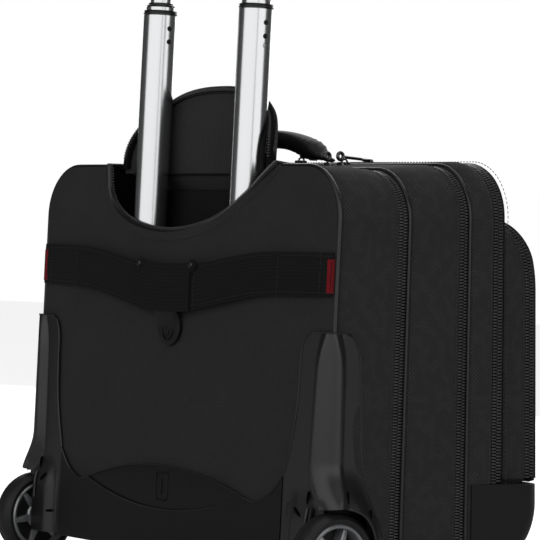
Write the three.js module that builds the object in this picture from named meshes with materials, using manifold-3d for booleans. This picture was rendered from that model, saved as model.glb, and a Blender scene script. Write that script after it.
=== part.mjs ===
// Rolling laptop case: a soft zipped case on two wheels with a three-stage telescopic handle.
// Millimetres, +Z up. The wheels and the trolley well are at the back, on +Y, and the pocket faces -Y.
// Inside this file y = 0 is the plane of the back panel's edge piping. The group is shifted at the end,
// so that the origin is at the middle of the whole object's footprint, on the ground.
import * as THREE from "three";
import { mergeVertices } from "three/addons/utils/BufferGeometryUtils.js";
import Module from "manifold-3d";

const wasm = await Module();
wasm.setup();

// Driving dimensions
const CASE = { half: 215, top: 369, bottom: 28, topRadius: 45, bottomRadius: 30, wall: 3 };
const REAR = { back: -5, front: -70 };
const MIDDLE = { back: -78, front: -139 };
const FRONT = { back: -147, front: -178, dividerBack: -160 };
const FACE = { back: -186, front: -190, bottom: 104 };
const POCKET = { half: 206, top: 320, radius: 35, front: -226 };
const FLAP_POCKET = { back: -231, front: -238 };
const BOOT = { back: -178.6, front: -235, top: 101, radius: 42, wall: 4, half: 214 };
const SLUMP = { perMm: 0.0003, level: 300, rise: 0.115, riseFrom: -60, riseBase: 100 };
const CROWN = { height: 8, thickness: 4 };
const WELL = { half: 121, depth: 60, front: -46, floor: 306 };
const HANDLE = { x: 71, y: -14, sides: 24 };
const FIXED = { outer: 17, inner: 15.5, bottom: 46, top: 311 };
const STAGES = [
  { outer: 15, inner: 13.6, bottom: 238, top: 508, collar: [15.2, 13.4, 508.3, 512] },
  { outer: 13, inner: 11.7, bottom: 246, top: 515.5, collar: [11.5, 9.9, 515.8, 519] },
  { outer: 9.5, inner: 8, bottom: 475, top: 755 },
];
const GRIP = { half: 93, depth: 26, bottom: 741, top: 773, radius: 11, socket: 9.9 };
const BUTTON = { half: 17, depth: 11, stand: 3, travel: 3, gap: 0.5 };
const WHEEL = { radius: 40, width: 22, inner: 210, axleY: -6, rimOuter: 31.4, sides: 40 };
const HOUSING = { inner: 168, outer: 207.4, front: -52, back: 7, top: 92, bottom: 27, wall: 3.5 };
const FENDER = { wellRadius: 44.5, roofRadius: 50, baseRadius: 78, lipRadius: 49, lipX: 236, cutZ: 58 };
const KICK = { half: 165.5, bottom: 25, edge: 97, thickness: 2.6, trayFront: -60 };
const INLAY = { half: 118, tip: 84, up: 19, down: 20 };
const STRAP = { half: 203, stand: 6.5, thickness: 2 };
const FLAP = { half: 117, bottom: 361, centre: 368, height: 78, rear: -31, thickness: 6 };
const FLAP_CURL = { from: 80, depth: 14 };
const CARRY = { half: 80, waist: 50, y: -95, base: 383, rise: 21, width: 24, endWidth: 10, thickness: 11 };
const ZIP = { width: 5, thickness: 2.6, inset: 0.4, foot: 60, pocketFoot: 116 };
const SLIDER = { long: 10, wide: 9, high: 5, gap: 0.9 };
const SLIDERS = { firstA: -108, firstB: -126, second: -50, third: 60, fourth: 40 };
const RING_PULL = { outer: 4.6, inner: 2.5, thickness: 2, pivot: 2 };
const FLAT_PULL = { length: 38, width: 7, thickness: 2.2, gap: 0.4 };
const SHORT_PULL = { length: 23, sunk: -0.5 };
const FOOT = { x: 150, y: -175, height: 27.6 };
const BOARD = { half: 200, waist: 164, top: 350, bottom: 33, back: -34.5, front: -37.5 };
const SLEEVE = { half: 195, back: -38.5, front: -58, bottom: 98, top: 338, wall: 4 };
const BEZEL = { half: 112, front: -33, back: 1, clearance: 0.35 };
// Blocks used for cutting reach this far past the case
const FAR = 300;

const MATERIALS = {
  backFabric: [0x232325, 0.85, 0],
  sideFabric: [0x2b2b2d, 0.8, 0],
  webbing: [0x151517, 0.75, 0],
  padding: [0x1c1c1e, 0.9, 0],
  lining: [0x6f7276, 0.9, 0],
  moulding: [0x1d1d1f, 0.35, 0],
  board: [0x303234, 0.6, 0],
  aluminium: [0xd3d5d8, 0.28, 1],
  steel: [0xa9abae, 0.3, 1],
  rubber: [0x191919, 0.7, 0],
  silver: [0xc4c6c9, 0.3, 0.6],
  zipCoil: [0x3a3a3c, 0.5, 0],
  zipMetal: [0x8d8f92, 0.3, 1],
};

const root = new THREE.Group();

// Adds one named piece to the case
function add(name, solid, finish) {
  const [color, roughness, metalness] = MATERIALS[finish];
  const material = new THREE.MeshStandardMaterial({ color, roughness, metalness });
  const mesh = new THREE.Mesh(geometryOf(solid), material);
  mesh.name = name;
  root.add(mesh);
}

// Closed solid of a three.js geometry
function solidOf(geometry) {
  const bare = new THREE.BufferGeometry();
  bare.setAttribute("position", geometry.getAttribute("position"));
  if (geometry.index) bare.setIndex(geometry.index);
  const merged = mergeVertices(bare, 1e-4);
  const vertProperties = new Float32Array(merged.attributes.position.array);
  const triVerts = new Uint32Array(merged.index.array);
  return new wasm.Manifold(new wasm.Mesh({ numProp: 3, vertProperties, triVerts }));
}

function geometryOf(solid) {
  const mesh = solid.getMesh();
  const geometry = new THREE.BufferGeometry();
  geometry.setAttribute("position", new THREE.BufferAttribute(mesh.vertProperties, 3));
  geometry.setIndex(new THREE.BufferAttribute(mesh.triVerts, 1));
  geometry.computeVertexNormals();
  return geometry;
}

// The packed case leans back a little at the top, and its top climbs towards the front
function slump(x, y, z) {
  const share = THREE.MathUtils.clamp((z - SLUMP.riseBase) / (CASE.top - SLUMP.riseBase), 0, 1.2);
  const climb = Math.max(0, SLUMP.riseFrom - y) * SLUMP.rise * share;
  return [x, y * (1 + SLUMP.perMm * (SLUMP.level - z)), z + climb];
}

function slumped(solid) {
  const geometry = geometryOf(solid);
  const place = geometry.attributes.position;
  for (let i = 0; i < place.count; i++) {
    place.setXYZ(i, ...slump(place.getX(i), place.getY(i), place.getZ(i)));
  }
  return solidOf(geometry);
}

// Extrudes a shape drawn in x and z from the back plane to the front plane
function plate(shape, back, front, curveSegments = 6) {
  const options = { depth: back - front, bevelEnabled: false, curveSegments };
  const geometry = new THREE.ExtrudeGeometry(shape, options);
  return solidOf(geometry.rotateX(Math.PI / 2).translate(0, back, 0));
}

// Extrudes a shape drawn in x and y upwards
function column(shape, bottom, top, curveSegments = 6) {
  const options = { depth: top - bottom, bevelEnabled: false, curveSegments };
  return solidOf(new THREE.ExtrudeGeometry(shape, options).translate(0, 0, bottom));
}

// Extrudes a shape drawn in y and z along x
function bar(shape, left, right, curveSegments = 6) {
  const options = { depth: right - left, bevelEnabled: false, curveSegments };
  const turn = new THREE.Matrix4().set(0, 0, 1, left, 1, 0, 0, 0, 0, 1, 0, 0, 0, 0, 0, 1);
  return solidOf(new THREE.ExtrudeGeometry(shape, options).applyMatrix4(turn));
}

function block(x0, x1, y0, y1, z0, z1) {
  const geometry = new THREE.BoxGeometry(x1 - x0, y1 - y0, z1 - z0);
  return solidOf(geometry.translate((x0 + x1) / 2, (y0 + y1) / 2, (z0 + z1) / 2));
}

// A solid vertical cylinder
function post(x, y, bottom, top, radius, sides = HANDLE.sides) {
  const geometry = new THREE.CylinderGeometry(radius, radius, top - bottom, sides);
  return solidOf(geometry.rotateX(Math.PI / 2).translate(x, y, (bottom + top) / 2));
}

// A solid cylinder or cone about the wheel axle, from one x to a larger x
function drum(x0, x1, radius0, radius1 = radius0, sides = WHEEL.sides) {
  const geometry = new THREE.CylinderGeometry(radius1, radius0, x1 - x0, sides);
  geometry.rotateZ(-Math.PI / 2);
  return solidOf(geometry.translate((x0 + x1) / 2, WHEEL.axleY, WHEEL.radius));
}

function pipe(x, y, bottom, top, outer, inner) {
  return post(x, y, bottom, top, outer).subtract(post(x, y, bottom - 1, top + 1, inner));
}

function polygon(points) {
  return new THREE.Shape(points.map(([a, b]) => new THREE.Vector2(a, b)));
}

// Rounded rectangle, symmetrical about x = 0, or about middle
function rounded(half, bottom, top, topRadius, bottomRadius, middle = 0) {
  const shape = new THREE.Shape();
  const quarter = Math.PI / 2;
  const left = middle - half;
  const right = middle + half;
  shape.absarc(right - bottomRadius, bottom + bottomRadius, bottomRadius, -quarter, 0);
  shape.absarc(right - topRadius, top - topRadius, topRadius, 0, quarter);
  shape.absarc(left + topRadius, top - topRadius, topRadius, quarter, 2 * quarter);
  shape.absarc(left + bottomRadius, bottom + bottomRadius, bottomRadius, 2 * quarter, 3 * quarter);
  shape.closePath();
  return shape;
}

// The case's outline seen from the back, drawn in by an inset
function caseOutline(inset = 0) {
  const { half, bottom, top, topRadius, bottomRadius } = CASE;
  return rounded(half - inset, bottom + inset, top - inset, topRadius - inset, bottomRadius - inset);
}

function pocketOutline(inset = 0) {
  const radius = POCKET.radius - inset;
  return rounded(POCKET.half - inset, FACE.bottom + inset, POCKET.top - inset, radius, 8);
}

// How far the padded back bulges behind the piping plane
function crown(x) {
  return CROWN.height * (1 - (x / CASE.half) ** 2);
}

// Points across the back that follow its bulge at an offset, with an extra bulge of their own
function crownLine(half, offset, bulge = 0, steps = 16) {
  return Array.from({ length: steps + 1 }, (_, i) => {
    const x = half * ((2 * i) / steps - 1);
    return [x, crown(x) + offset + bulge * (1 - (x / half) ** 2)];
  });
}

// A curved sheet that follows the bulge of the back, between two offsets from it, full height
function crownSheet(half, inner, outer, bulge = 0) {
  const back = crownLine(half, outer, bulge).reverse();
  return column(polygon([...crownLine(half, inner, bulge), ...back]), 0, CASE.top + 30);
}

function mirrored(solid) {
  return solidOf(flip(geometryOf(solid)));
}

// Mirrors a geometry in x and turns its faces back out
function flip(geometry) {
  geometry.scale(-1, 1, 1);
  const index = geometry.index.array;
  for (let i = 0; i < index.length; i += 3) [index[i + 1], index[i + 2]] = [index[i + 2], index[i + 1]];
  return geometry;
}

// Adds a piece made for the +X side and its mirror image
function addPair(name, solid, finish) {
  add(name + "_left", solid, finish);
  add(name + "_right", mirrored(solid), finish);
}

// A zip between two sections: its outline, its middle plane, the height of its top run and of its lower ends
function seamBetween(outline, rearPlane, frontPlane, top, foot) {
  return { outline, middle: (rearPlane + frontPlane) / 2, top, foot };
}

const SEAMS = [
  seamBetween(caseOutline, REAR.front, MIDDLE.back, CASE.top, ZIP.foot),
  seamBetween(caseOutline, MIDDLE.front, FRONT.back, CASE.top, ZIP.foot),
  seamBetween(caseOutline, FRONT.front, FACE.back, CASE.top, FACE.bottom),
  seamBetween(pocketOutline, POCKET.front, FLAP_POCKET.back, POCKET.top, ZIP.pocketFoot),
];

// ---- Rear section: panels, frame, trolley well ----

// Room for a wheel housing at a lower back corner, with a few millimetres to spare
function wheelNotch(side) {
  const inner = side * (HOUSING.inner - 2);
  const outer = side * FAR;
  return block(Math.min(inner, outer), Math.max(inner, outer), HOUSING.front - 6, 60, 0, HOUSING.top + 3);
}

function wellCut() {
  const shape = new THREE.Shape();
  shape.moveTo(-WELL.half, CASE.top + 30);
  shape.absellipse(0, CASE.top + 2, WELL.half, WELL.depth, Math.PI, 2 * Math.PI);
  shape.lineTo(WELL.half, CASE.top + 30);
  shape.closePath();
  return plate(shape, 40, -20, 10);
}

function addRearSection() {
  const panel = crownSheet(CASE.half, -CROWN.thickness, 0).intersect(plate(caseOutline(), 40, -20));
  const notched = panel.subtract(wheelNotch(1)).subtract(wheelNotch(-1));
  add("back_panel", notched.subtract(wellCut()), "backFabric");

  const ring = plate(caseOutline(), REAR.back, REAR.front)
    .subtract(plate(caseOutline(CASE.wall), 0, REAR.front - 5))
    .subtract(wheelNotch(1))
    .subtract(wheelNotch(-1))
    .subtract(block(-WELL.half, WELL.half, WELL.front, 20, CASE.top - 30, CASE.top + 30));
  add("rear_gusset", slumped(ring), "sideFabric");

  const shoulder = HOUSING.top + 6;
  const boardShape = polygon([
    [-BOARD.waist, BOARD.bottom],
    [BOARD.waist, BOARD.bottom],
    [BOARD.waist, shoulder],
    [BOARD.half, shoulder],
    [BOARD.half, BOARD.top],
    [-BOARD.half, BOARD.top],
    [-BOARD.half, shoulder],
    [-BOARD.waist, shoulder],
  ]);
  add("back_board", plate(boardShape, BOARD.back, BOARD.front), "board");

  const { half, back, front, bottom, top, wall } = SLEEVE;
  const skin = wall - 1;
  const pouch = block(-half + wall, half - wall, front + skin, back - skin, bottom + wall, top + wall);
  add("laptop_sleeve", block(-half, half, front, back, bottom, top).subtract(pouch), "lining");
}

function addWell() {
  const { half, front, back, clearance } = BEZEL;
  let bezel = block(-half, half, front, back, WELL.floor, FIXED.top);
  for (const side of [-1, 1]) {
    const collar = post(side * HANDLE.x, HANDLE.y, WELL.floor - 5, FIXED.top + 5, FIXED.outer + clearance);
    bezel = bezel.subtract(collar);
  }
  add("well_bezel", bezel, "moulding");
  add("tube_foot_bracket", block(-95, 95, -31, 2, 33, FIXED.bottom - 0.4), "moulding");
}

// The flap's sheet, whose two sides curl back round the tubes
function flapSheet() {
  const { half, rear, thickness, bottom, centre, height } = FLAP;
  const span = half - FLAP_CURL.from;
  const rearAt = (x) => rear + FLAP_CURL.depth * Math.max(0, (Math.abs(x) - FLAP_CURL.from) / span) ** 2;
  const curled = [0, 1, 2, 3].map((i) => FLAP_CURL.from + (span * i) / 3);
  const stations = [...curled.map((x) => -x).reverse(), ...curled];
  const face = stations.map((x) => [x, rearAt(x) - thickness]);
  const back = stations.map((x) => [x, rearAt(x)]).reverse();
  return column(polygon([...face, ...back]), bottom, centre + height + 10);
}

function addFlap() {
  const dome = new THREE.Shape();
  dome.moveTo(FLAP.half, FLAP.bottom - 5);
  dome.lineTo(FLAP.half, FLAP.centre);
  dome.absellipse(0, FLAP.centre, FLAP.half, FLAP.height, 0, Math.PI);
  dome.lineTo(-FLAP.half, FLAP.bottom - 5);
  dome.closePath();
  add("well_flap", flapSheet().intersect(plate(dome, 10, -60, 12)), "backFabric");
}

// ---- Back trim: kick plate, inlay, strap, guards ----

function inlayEdge(rise, count = 12) {
  return Array.from({ length: count + 1 }, (_, i) => {
    const x = INLAY.half * ((2 * i) / count - 1);
    return [x, INLAY.tip + rise * (1 - (x / INLAY.half) ** 2)];
  });
}

function addKickPlate() {
  const { half, bottom, edge, thickness, trayFront } = KICK;
  const gap = 0.5;
  const lower = inlayEdge(-INLAY.down).map(([x, z]) => [x, z - gap]);
  const shoulder = [
    [half, edge],
    [152, 91],
    [141, 85],
    [130, 81],
  ];
  const outline = polygon([
    [-half, bottom],
    [half, bottom],
    ...shoulder,
    ...lower.reverse(),
    ...shoulder.map(([x, z]) => [-x, z]).reverse(),
  ]);
  const skin = crownSheet(CASE.half, gap, gap + thickness).intersect(plate(outline, 40, -20));
  const floor = polygon([[-half, trayFront], [half, trayFront], ...crownLine(half, gap + 1).reverse()]);
  add("kick_plate", skin.add(column(floor, bottom, bottom + 2.4)), "moulding");

  const inlay = polygon([...inlayEdge(-INLAY.down), ...inlayEdge(INLAY.up).reverse().slice(1, -1)]);
  const inlaySheet = crownSheet(CASE.half, gap, gap + thickness - 0.4);
  add("kick_plate_inlay", inlaySheet.intersect(plate(inlay, 40, -20)), "moulding");
}

function addStrap() {
  const edgeOf = (points) => [...points.map(([x, z]) => [-x, z]).reverse(), ...points.slice(1)];
  const upper = edgeOf([
    [0, 281],
    [40, 282],
    [90, 290],
    [130, 295],
    [STRAP.half, 296],
  ]);
  const lower = edgeOf([
    [0, 240],
    [40, 243],
    [90, 252],
    [130, 258],
    [STRAP.half, 259],
  ]);
  const sheet = crownSheet(STRAP.half, 0.5, 0.5 + STRAP.thickness, STRAP.stand);
  const band = plate(polygon([...lower, ...upper.reverse()]), 40, -20);
  add("back_strap", sheet.intersect(band), "webbing");
  const tab = plate(rounded(16, 209, 238, 2, 15), crown(0) + 4.2, crown(0) + 0.7);
  add("strap_pull_tab", tab, "rubber");
}

// Wheel guard of the +X side: a ridge on the case's edge that flares into a fender over the wheel
function guardSolid() {
  const ridge = polygon([
    [181, 3.1],
    [200, 2],
    [215.7, 0.8],
    [215.7, -30],
    [218, -30],
    [219.5, -6],
    [219, 5],
    [213, 9.5],
    [203, 9.5],
    [190, 6.5],
    [181, 5],
  ]);
  const { lipX, lipRadius, baseRadius, roofRadius, wellRadius, cutZ } = FENDER;
  const skirt = drum(215.7, lipX, baseRadius, lipRadius);
  const roof = drum(HOUSING.outer - 3, 217, roofRadius);
  const fender = skirt.add(roof).intersect(block(200, 240, -90, 10, cutZ, 130));
  const { inner, outer, front, back, top, bottom, wall } = HOUSING;
  const box = block(inner, outer, front, back, bottom, top);
  const hollow = block(inner + wall, outer - 5, front + wall, back - wall, bottom - 5, top - wall);
  return column(ridge, 84, 229)
    .add(fender)
    .add(box)
    .subtract(drum(outer, 250, wellRadius))
    .subtract(hollow)
    .subtract(drum(inner + wall + 1, 250, 4.4, 4.4, 16));
}

// ---- Wheels ----

function ringProfile(points, sides) {
  const closed = [...points, points[0]].map(([radius, x]) => new THREE.Vector2(radius, x));
  const geometry = new THREE.LatheGeometry(closed, sides).rotateZ(-Math.PI / 2);
  return solidOf(geometry.translate(0, WHEEL.axleY, WHEEL.radius));
}

function addWheels() {
  const { radius, width, inner, rimOuter, sides } = WHEEL;
  const outer = inner + width;
  const tyre = [
    [rimOuter + 0.4, inner + 1.5],
    [radius - 4, inner],
    [radius - 1.2, inner + 3],
    [radius, inner + 7],
    [radius, outer - 7],
    [radius - 1.2, outer - 3],
    [radius - 4, outer],
    [rimOuter + 0.4, outer - 1.5],
  ];
  addPair("tyre", ringProfile(tyre, sides), "rubber");

  let rim = drum(inner + 3, outer - 3, rimOuter).subtract(drum(inner, outer, 26.5));
  rim = rim.add(drum(inner + 3, outer - 3, 13, 13, 20));
  for (let i = 0; i < 5; i++) {
    const spoke = block(inner + 8, outer - 8, -2.6, 2.6, 8, 28);
    const turned = geometryOf(spoke).rotateX((2 * Math.PI * i) / 5);
    rim = rim.add(solidOf(turned.translate(0, WHEEL.axleY, WHEEL.radius)));
  }
  addPair("rim", rim.subtract(drum(inner, outer, 9.4, 9.4, 20)), "silver");

  const bearing = drum(inner + 3.5, outer - 3.5, 9, 9, 20).subtract(drum(inner, outer, 4.3, 4.3, 16));
  addPair("bearing", bearing, "steel");
  const cap = drum(outer - 2.6, outer + 0.4, 12, 10, 20).subtract(drum(inner, outer + 2, 6.4, 6.4, 16));
  addPair("hub_cap", cap, "moulding");
  const axle = drum(196, outer + 2, 3.9, 3.9, 16)
    .add(drum(196, 201.5, 7, 7, 6))
    .add(drum(outer - 0.2, outer + 2, 6, 6, 16));
  addPair("axle", axle, "steel");
}

// ---- Telescopic handle ----

function addHandle() {
  for (const side of [1, -1]) {
    const x = side * HANDLE.x;
    const hand = side > 0 ? "left" : "right";
    const tube = (part) => pipe(x, HANDLE.y, part.bottom, part.top, part.outer, part.inner);
    add("fixed_tube_" + hand, tube(FIXED), "aluminium");
    STAGES.forEach((stage, i) => {
      add(`stage${i + 1}_tube_${hand}`, tube(stage), "aluminium");
      if (!stage.collar) return;
      const [outer, inner, bottom, top] = stage.collar;
      add(`stage${i + 1}_collar_${hand}`, pipe(x, HANDLE.y, bottom, top, outer, inner), "moulding");
    });
  }
  const { half, depth, bottom, top, radius, socket } = GRIP;
  const section = rounded(depth / 2, bottom, top, radius, radius, HANDLE.y);
  const recess = block(
    -BUTTON.half - BUTTON.gap,
    BUTTON.half + BUTTON.gap,
    HANDLE.y - BUTTON.depth / 2 - BUTTON.gap,
    HANDLE.y + BUTTON.depth / 2 + BUTTON.gap,
    top - 7,
    top + 5,
  );
  let grip = bar(section, -half, half, 4).subtract(recess);
  for (const side of [-1, 1]) {
    grip = grip.subtract(post(side * HANDLE.x, HANDLE.y, bottom - 5, STAGES[2].top + 0.4, socket));
  }
  add("grip", grip, "moulding");
  const button = block(
    -BUTTON.half,
    BUTTON.half,
    HANDLE.y - BUTTON.depth / 2,
    HANDLE.y + BUTTON.depth / 2,
    top - 3.5,
    top + BUTTON.stand,
  );
  add("release_button", button, "moulding");
}

// ---- Zipped sections in front of the rear section ----

function addMiddleSection() {
  const tray = plate(caseOutline(), MIDDLE.back, MIDDLE.front).subtract(
    plate(caseOutline(CASE.wall), MIDDLE.back + 1, MIDDLE.front + CASE.wall),
  );
  add("middle_gusset", slumped(tray), "sideFabric");
}

function addFrontSection() {
  const tray = plate(caseOutline(), FRONT.back, FRONT.front)
    .subtract(plate(caseOutline(CASE.wall), FRONT.back + 1, FRONT.dividerBack))
    .subtract(plate(caseOutline(CASE.wall), FRONT.dividerBack - CASE.wall, FRONT.front - 1));
  add("front_gusset", slumped(tray), "sideFabric");

  // The boot is a tray: a rounded lower front corner, open at its top
  const profile = (inset) => {
    const shape = new THREE.Shape();
    const nose = BOOT.front + inset + BOOT.radius;
    const base = CASE.bottom + inset + BOOT.radius;
    shape.moveTo(BOOT.back - inset, BOOT.top + inset);
    shape.lineTo(BOOT.front + inset, BOOT.top + inset);
    shape.absarc(nose, base, BOOT.radius, Math.PI, 1.5 * Math.PI);
    shape.lineTo(BOOT.back - inset, CASE.bottom + inset);
    shape.closePath();
    return shape;
  };
  const width = (inset) => rounded(BOOT.half - inset, CASE.bottom + inset, 200, 10, 40 - inset);
  const shell = (inset) => {
    const along = bar(profile(inset), -BOOT.half, BOOT.half);
    return along.intersect(plate(width(inset), FRONT.back, -FAR));
  };
  add("boot", slumped(shell(0).subtract(shell(BOOT.wall))), "moulding");
  addPair("front_foot", footSolid(), "rubber");
}

function footSolid() {
  const profile = [
    [0, 0],
    [11, 0],
    [14, 3],
    [16, FOOT.height],
    [0, FOOT.height],
  ].map(([radius, z]) => new THREE.Vector2(radius, z));
  const geometry = new THREE.LatheGeometry(profile, 20).rotateX(Math.PI / 2);
  return solidOf(geometry.translate(FOOT.x, FOOT.y, 0));
}

function addFaceAndPocket() {
  const { half, bottom, top, topRadius, bottomRadius } = { ...CASE, bottom: FACE.bottom, bottomRadius: 6 };
  const face = plate(rounded(half - 1, bottom, top, topRadius, bottomRadius), FACE.back, FACE.front);
  const walls = plate(pocketOutline(), FACE.front, POCKET.front).subtract(
    plate(pocketOutline(CASE.wall), FACE.front, POCKET.front - 1),
  );
  add("front_face", slumped(face.add(walls)), "sideFabric");
  add("pocket_panel", slumped(plate(pocketOutline(), FLAP_POCKET.back, FLAP_POCKET.front)), "sideFabric");
}

// ---- Zips, sliders and pulls ----

// A zip chain runs up one side, over the top and down the other side of an outline
function chain(outline, middle, foot) {
  const half = ZIP.width / 2;
  return slumped(
    plate(outline(ZIP.inset), middle + half, middle - half)
      .subtract(plate(outline(ZIP.inset + ZIP.thickness), middle + half + 1, middle - half - 1))
      .subtract(block(-FAR, FAR, -FAR, 50, 0, foot)),
  );
}

// Where a slider sits on a zip's top run: its middle in y, and the height of its base
function runAt(seam) {
  const [, y] = slump(0, seam.middle, seam.top);
  const [, , z] = slump(0, seam.middle - SLIDER.wide / 2, seam.top);
  return { y, base: z + SLIDER.gap };
}

function sliderSolid(seam, x) {
  const { y, base } = runAt(seam);
  const { long, wide, high } = SLIDER;
  return block(x - long / 2, x + long / 2, y - wide / 2, y + wide / 2, base, base + high);
}

// A small ring that stands across its zip, hinged on the slider by the lowest part of its rim
function ringPullSolid(seam, x) {
  const { y, base } = runAt(seam);
  const { outer, inner, thickness, pivot } = RING_PULL;
  const centre = base + SLIDER.high + pivot + (outer + inner) / 2;
  const shape = new THREE.Shape();
  shape.absarc(y, centre, outer, 0, 2 * Math.PI);
  const hole = new THREE.Path();
  hole.absarc(y, centre, inner, 0, 2 * Math.PI);
  shape.holes.push(hole);
  return bar(shape, x - thickness / 2, x + thickness / 2, 8);
}

// A flat pull with a pointed tip that lies along its zip
function flatPullSolid(seam, x, length, gap) {
  const { y, base } = runAt(seam);
  const half = FLAT_PULL.width / 2;
  const shape = polygon([
    [x, y - half],
    [x, y + half],
    [x - length + half, y + half],
    [x - length, y],
    [x - length + half, y - half],
  ]);
  const bottom = base + SLIDER.high + gap;
  return column(shape, bottom, bottom + FLAT_PULL.thickness);
}

function addZips() {
  SEAMS.forEach((seam, i) => {
    add(`zip${i + 1}_chain`, chain(seam.outline, seam.middle, seam.foot), "zipCoil");
  });
  const [first, second, third, fourth] = SEAMS;
  [SLIDERS.firstA, SLIDERS.firstB].forEach((x, i) => {
    const letter = "ab"[i];
    add("zip1_slider_" + letter, sliderSolid(first, x), "zipMetal");
    add("zip1_pull_" + letter, ringPullSolid(first, x), "zipMetal");
  });
  add("zip2_slider", sliderSolid(second, SLIDERS.second), "zipMetal");
  const pull = flatPullSolid(second, SLIDERS.second - 1, FLAT_PULL.length, FLAT_PULL.gap);
  add("zip2_pull", pull, "zipMetal");
  [third, fourth].forEach((seam, i) => {
    const x = [SLIDERS.third, SLIDERS.fourth][i];
    const tag = flatPullSolid(seam, x, SHORT_PULL.length, SHORT_PULL.sunk);
    add(`zip${i + 3}_slider`, sliderSolid(seam, x).add(tag), "zipMetal");
  });
}

// ---- Carry handle ----

function addCarryHandle() {
  const { half, waist, y, base, rise, width, endWidth, thickness } = CARRY;
  const steps = 16;
  const line = (offset) =>
    Array.from({ length: steps + 1 }, (_, i) => {
      const x = half * ((2 * i) / steps - 1);
      return [x, base + offset + rise * (1 - (x / half) ** 2)];
    });
  const arch = polygon([...line(-thickness / 2), ...line(thickness / 2).reverse()]);
  const plan = polygon([
    [-half, y - endWidth / 2],
    [-waist, y - width / 2],
    [waist, y - width / 2],
    [half, y - endWidth / 2],
    [half, y + endWidth / 2],
    [waist, y + width / 2],
    [-waist, y + width / 2],
    [-half, y + endWidth / 2],
  ]);
  const strip = plate(arch, y + width / 2, y - width / 2);
  add("carry_handle", strip.intersect(column(plan, base - 20, base + 60)), "padding");
}

addRearSection();
addWell();
addFlap();
addKickPlate();
addStrap();
addPair("wheel_guard", guardSolid(), "moulding");
addWheels();
addHandle();
addMiddleSection();
addFrontSection();
addFaceAndPocket();
addZips();
addCarryHandle();

// The origin goes to the middle of the footprint
const rearmost = WHEEL.axleY + WHEEL.radius;
const foremost = slump(0, FLAP_POCKET.front, FACE.bottom)[1];
root.position.y = -(rearmost + foremost) / 2;

export default root;
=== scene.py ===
"""Looks of a rolling laptop case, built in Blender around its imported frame.

Metres, +Z up. The wheels and the handle are at the back, on +Y, and the pocket faces -Y. Pieces are shaped in
the case's own coordinates, where y = 0 is the plane of the back panel's edge piping, and Bench.finish sets
each mesh into the frame.
"""

import logging
from collections.abc import Callable, Iterator, Sequence
from contextlib import contextmanager
from dataclasses import dataclass, replace
from enum import Enum
from math import copysign, cos, pi, radians, sin, sqrt
from typing import Any

import bpy
from mathutils import Matrix, Vector

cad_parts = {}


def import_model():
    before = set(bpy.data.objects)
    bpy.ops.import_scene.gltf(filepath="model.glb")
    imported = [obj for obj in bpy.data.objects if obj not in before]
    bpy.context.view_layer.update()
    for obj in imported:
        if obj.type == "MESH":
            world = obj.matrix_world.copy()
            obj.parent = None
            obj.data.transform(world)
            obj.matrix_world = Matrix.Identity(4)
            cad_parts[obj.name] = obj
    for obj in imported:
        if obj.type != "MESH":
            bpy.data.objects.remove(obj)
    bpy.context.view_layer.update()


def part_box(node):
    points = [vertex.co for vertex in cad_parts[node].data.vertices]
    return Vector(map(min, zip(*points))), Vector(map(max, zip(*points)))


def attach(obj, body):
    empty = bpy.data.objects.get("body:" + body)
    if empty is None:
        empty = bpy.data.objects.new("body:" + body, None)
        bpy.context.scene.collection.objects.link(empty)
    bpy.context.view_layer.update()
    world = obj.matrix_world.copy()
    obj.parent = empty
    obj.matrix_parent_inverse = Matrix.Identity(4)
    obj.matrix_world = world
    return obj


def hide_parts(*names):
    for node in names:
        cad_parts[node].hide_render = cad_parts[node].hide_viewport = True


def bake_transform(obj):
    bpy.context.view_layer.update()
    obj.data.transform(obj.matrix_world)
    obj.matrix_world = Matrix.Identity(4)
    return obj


LOG = logging.getLogger("laptop_case")
Piece = bpy.types.Object
Triple = tuple[float, float, float]
Knots = tuple[tuple[float, float], ...]
Station = tuple[Vector, Vector, Vector, Vector]
Place = Callable[[float, float], Sequence[float]]
Pick = Callable[[Vector, Vector], bool]
REARWARD = Vector((0, 1, 0))
UPWARD = Vector((0, 0, 1))
WHITE = (1, 1, 1, 1)


class Side(Enum):
    """The two sides of the case."""

    LEFT = 1
    RIGHT = -1

    @property
    def hand(self) -> str:
        """The word that ends a piece's name."""
        return self.name.lower()


def smooth(t: float) -> float:
    """A soft step from 0 to 1 as t goes from 0 to 1."""
    t = min(max(t, 0.0), 1.0)
    return t * t * (3.0 - 2.0 * t)


def eased(t: float, knots: Sequence[tuple[float, float]]) -> float:
    """A smooth curve through knots.

    Args:
        t: Where the curve is read.
        knots: (place, value) pairs with rising places.

    Returns:
        The value at t, held level past both ends.
    """
    if t <= knots[0][0]:
        return knots[0][1]
    for i in range(len(knots) - 1):
        (t0, v0), (t1, v1) = knots[i], knots[i + 1]
        if t > t1:
            continue
        before = knots[i - 1] if i else knots[i]
        after = knots[i + 2] if i + 2 < len(knots) else knots[i + 1]
        span = t1 - t0
        m0 = (v1 - before[1]) / (t1 - before[0]) * span
        m1 = (after[1] - v0) / (after[0] - t0) * span
        s = (t - t0) / span
        low = (2 * s**3 - 3 * s**2 + 1) * v0 + (s**3 - 2 * s**2 + s) * m0
        return low + (3 * s**2 - 2 * s**3) * v1 + (s**3 - s**2) * m1
    return knots[-1][1]


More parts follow.
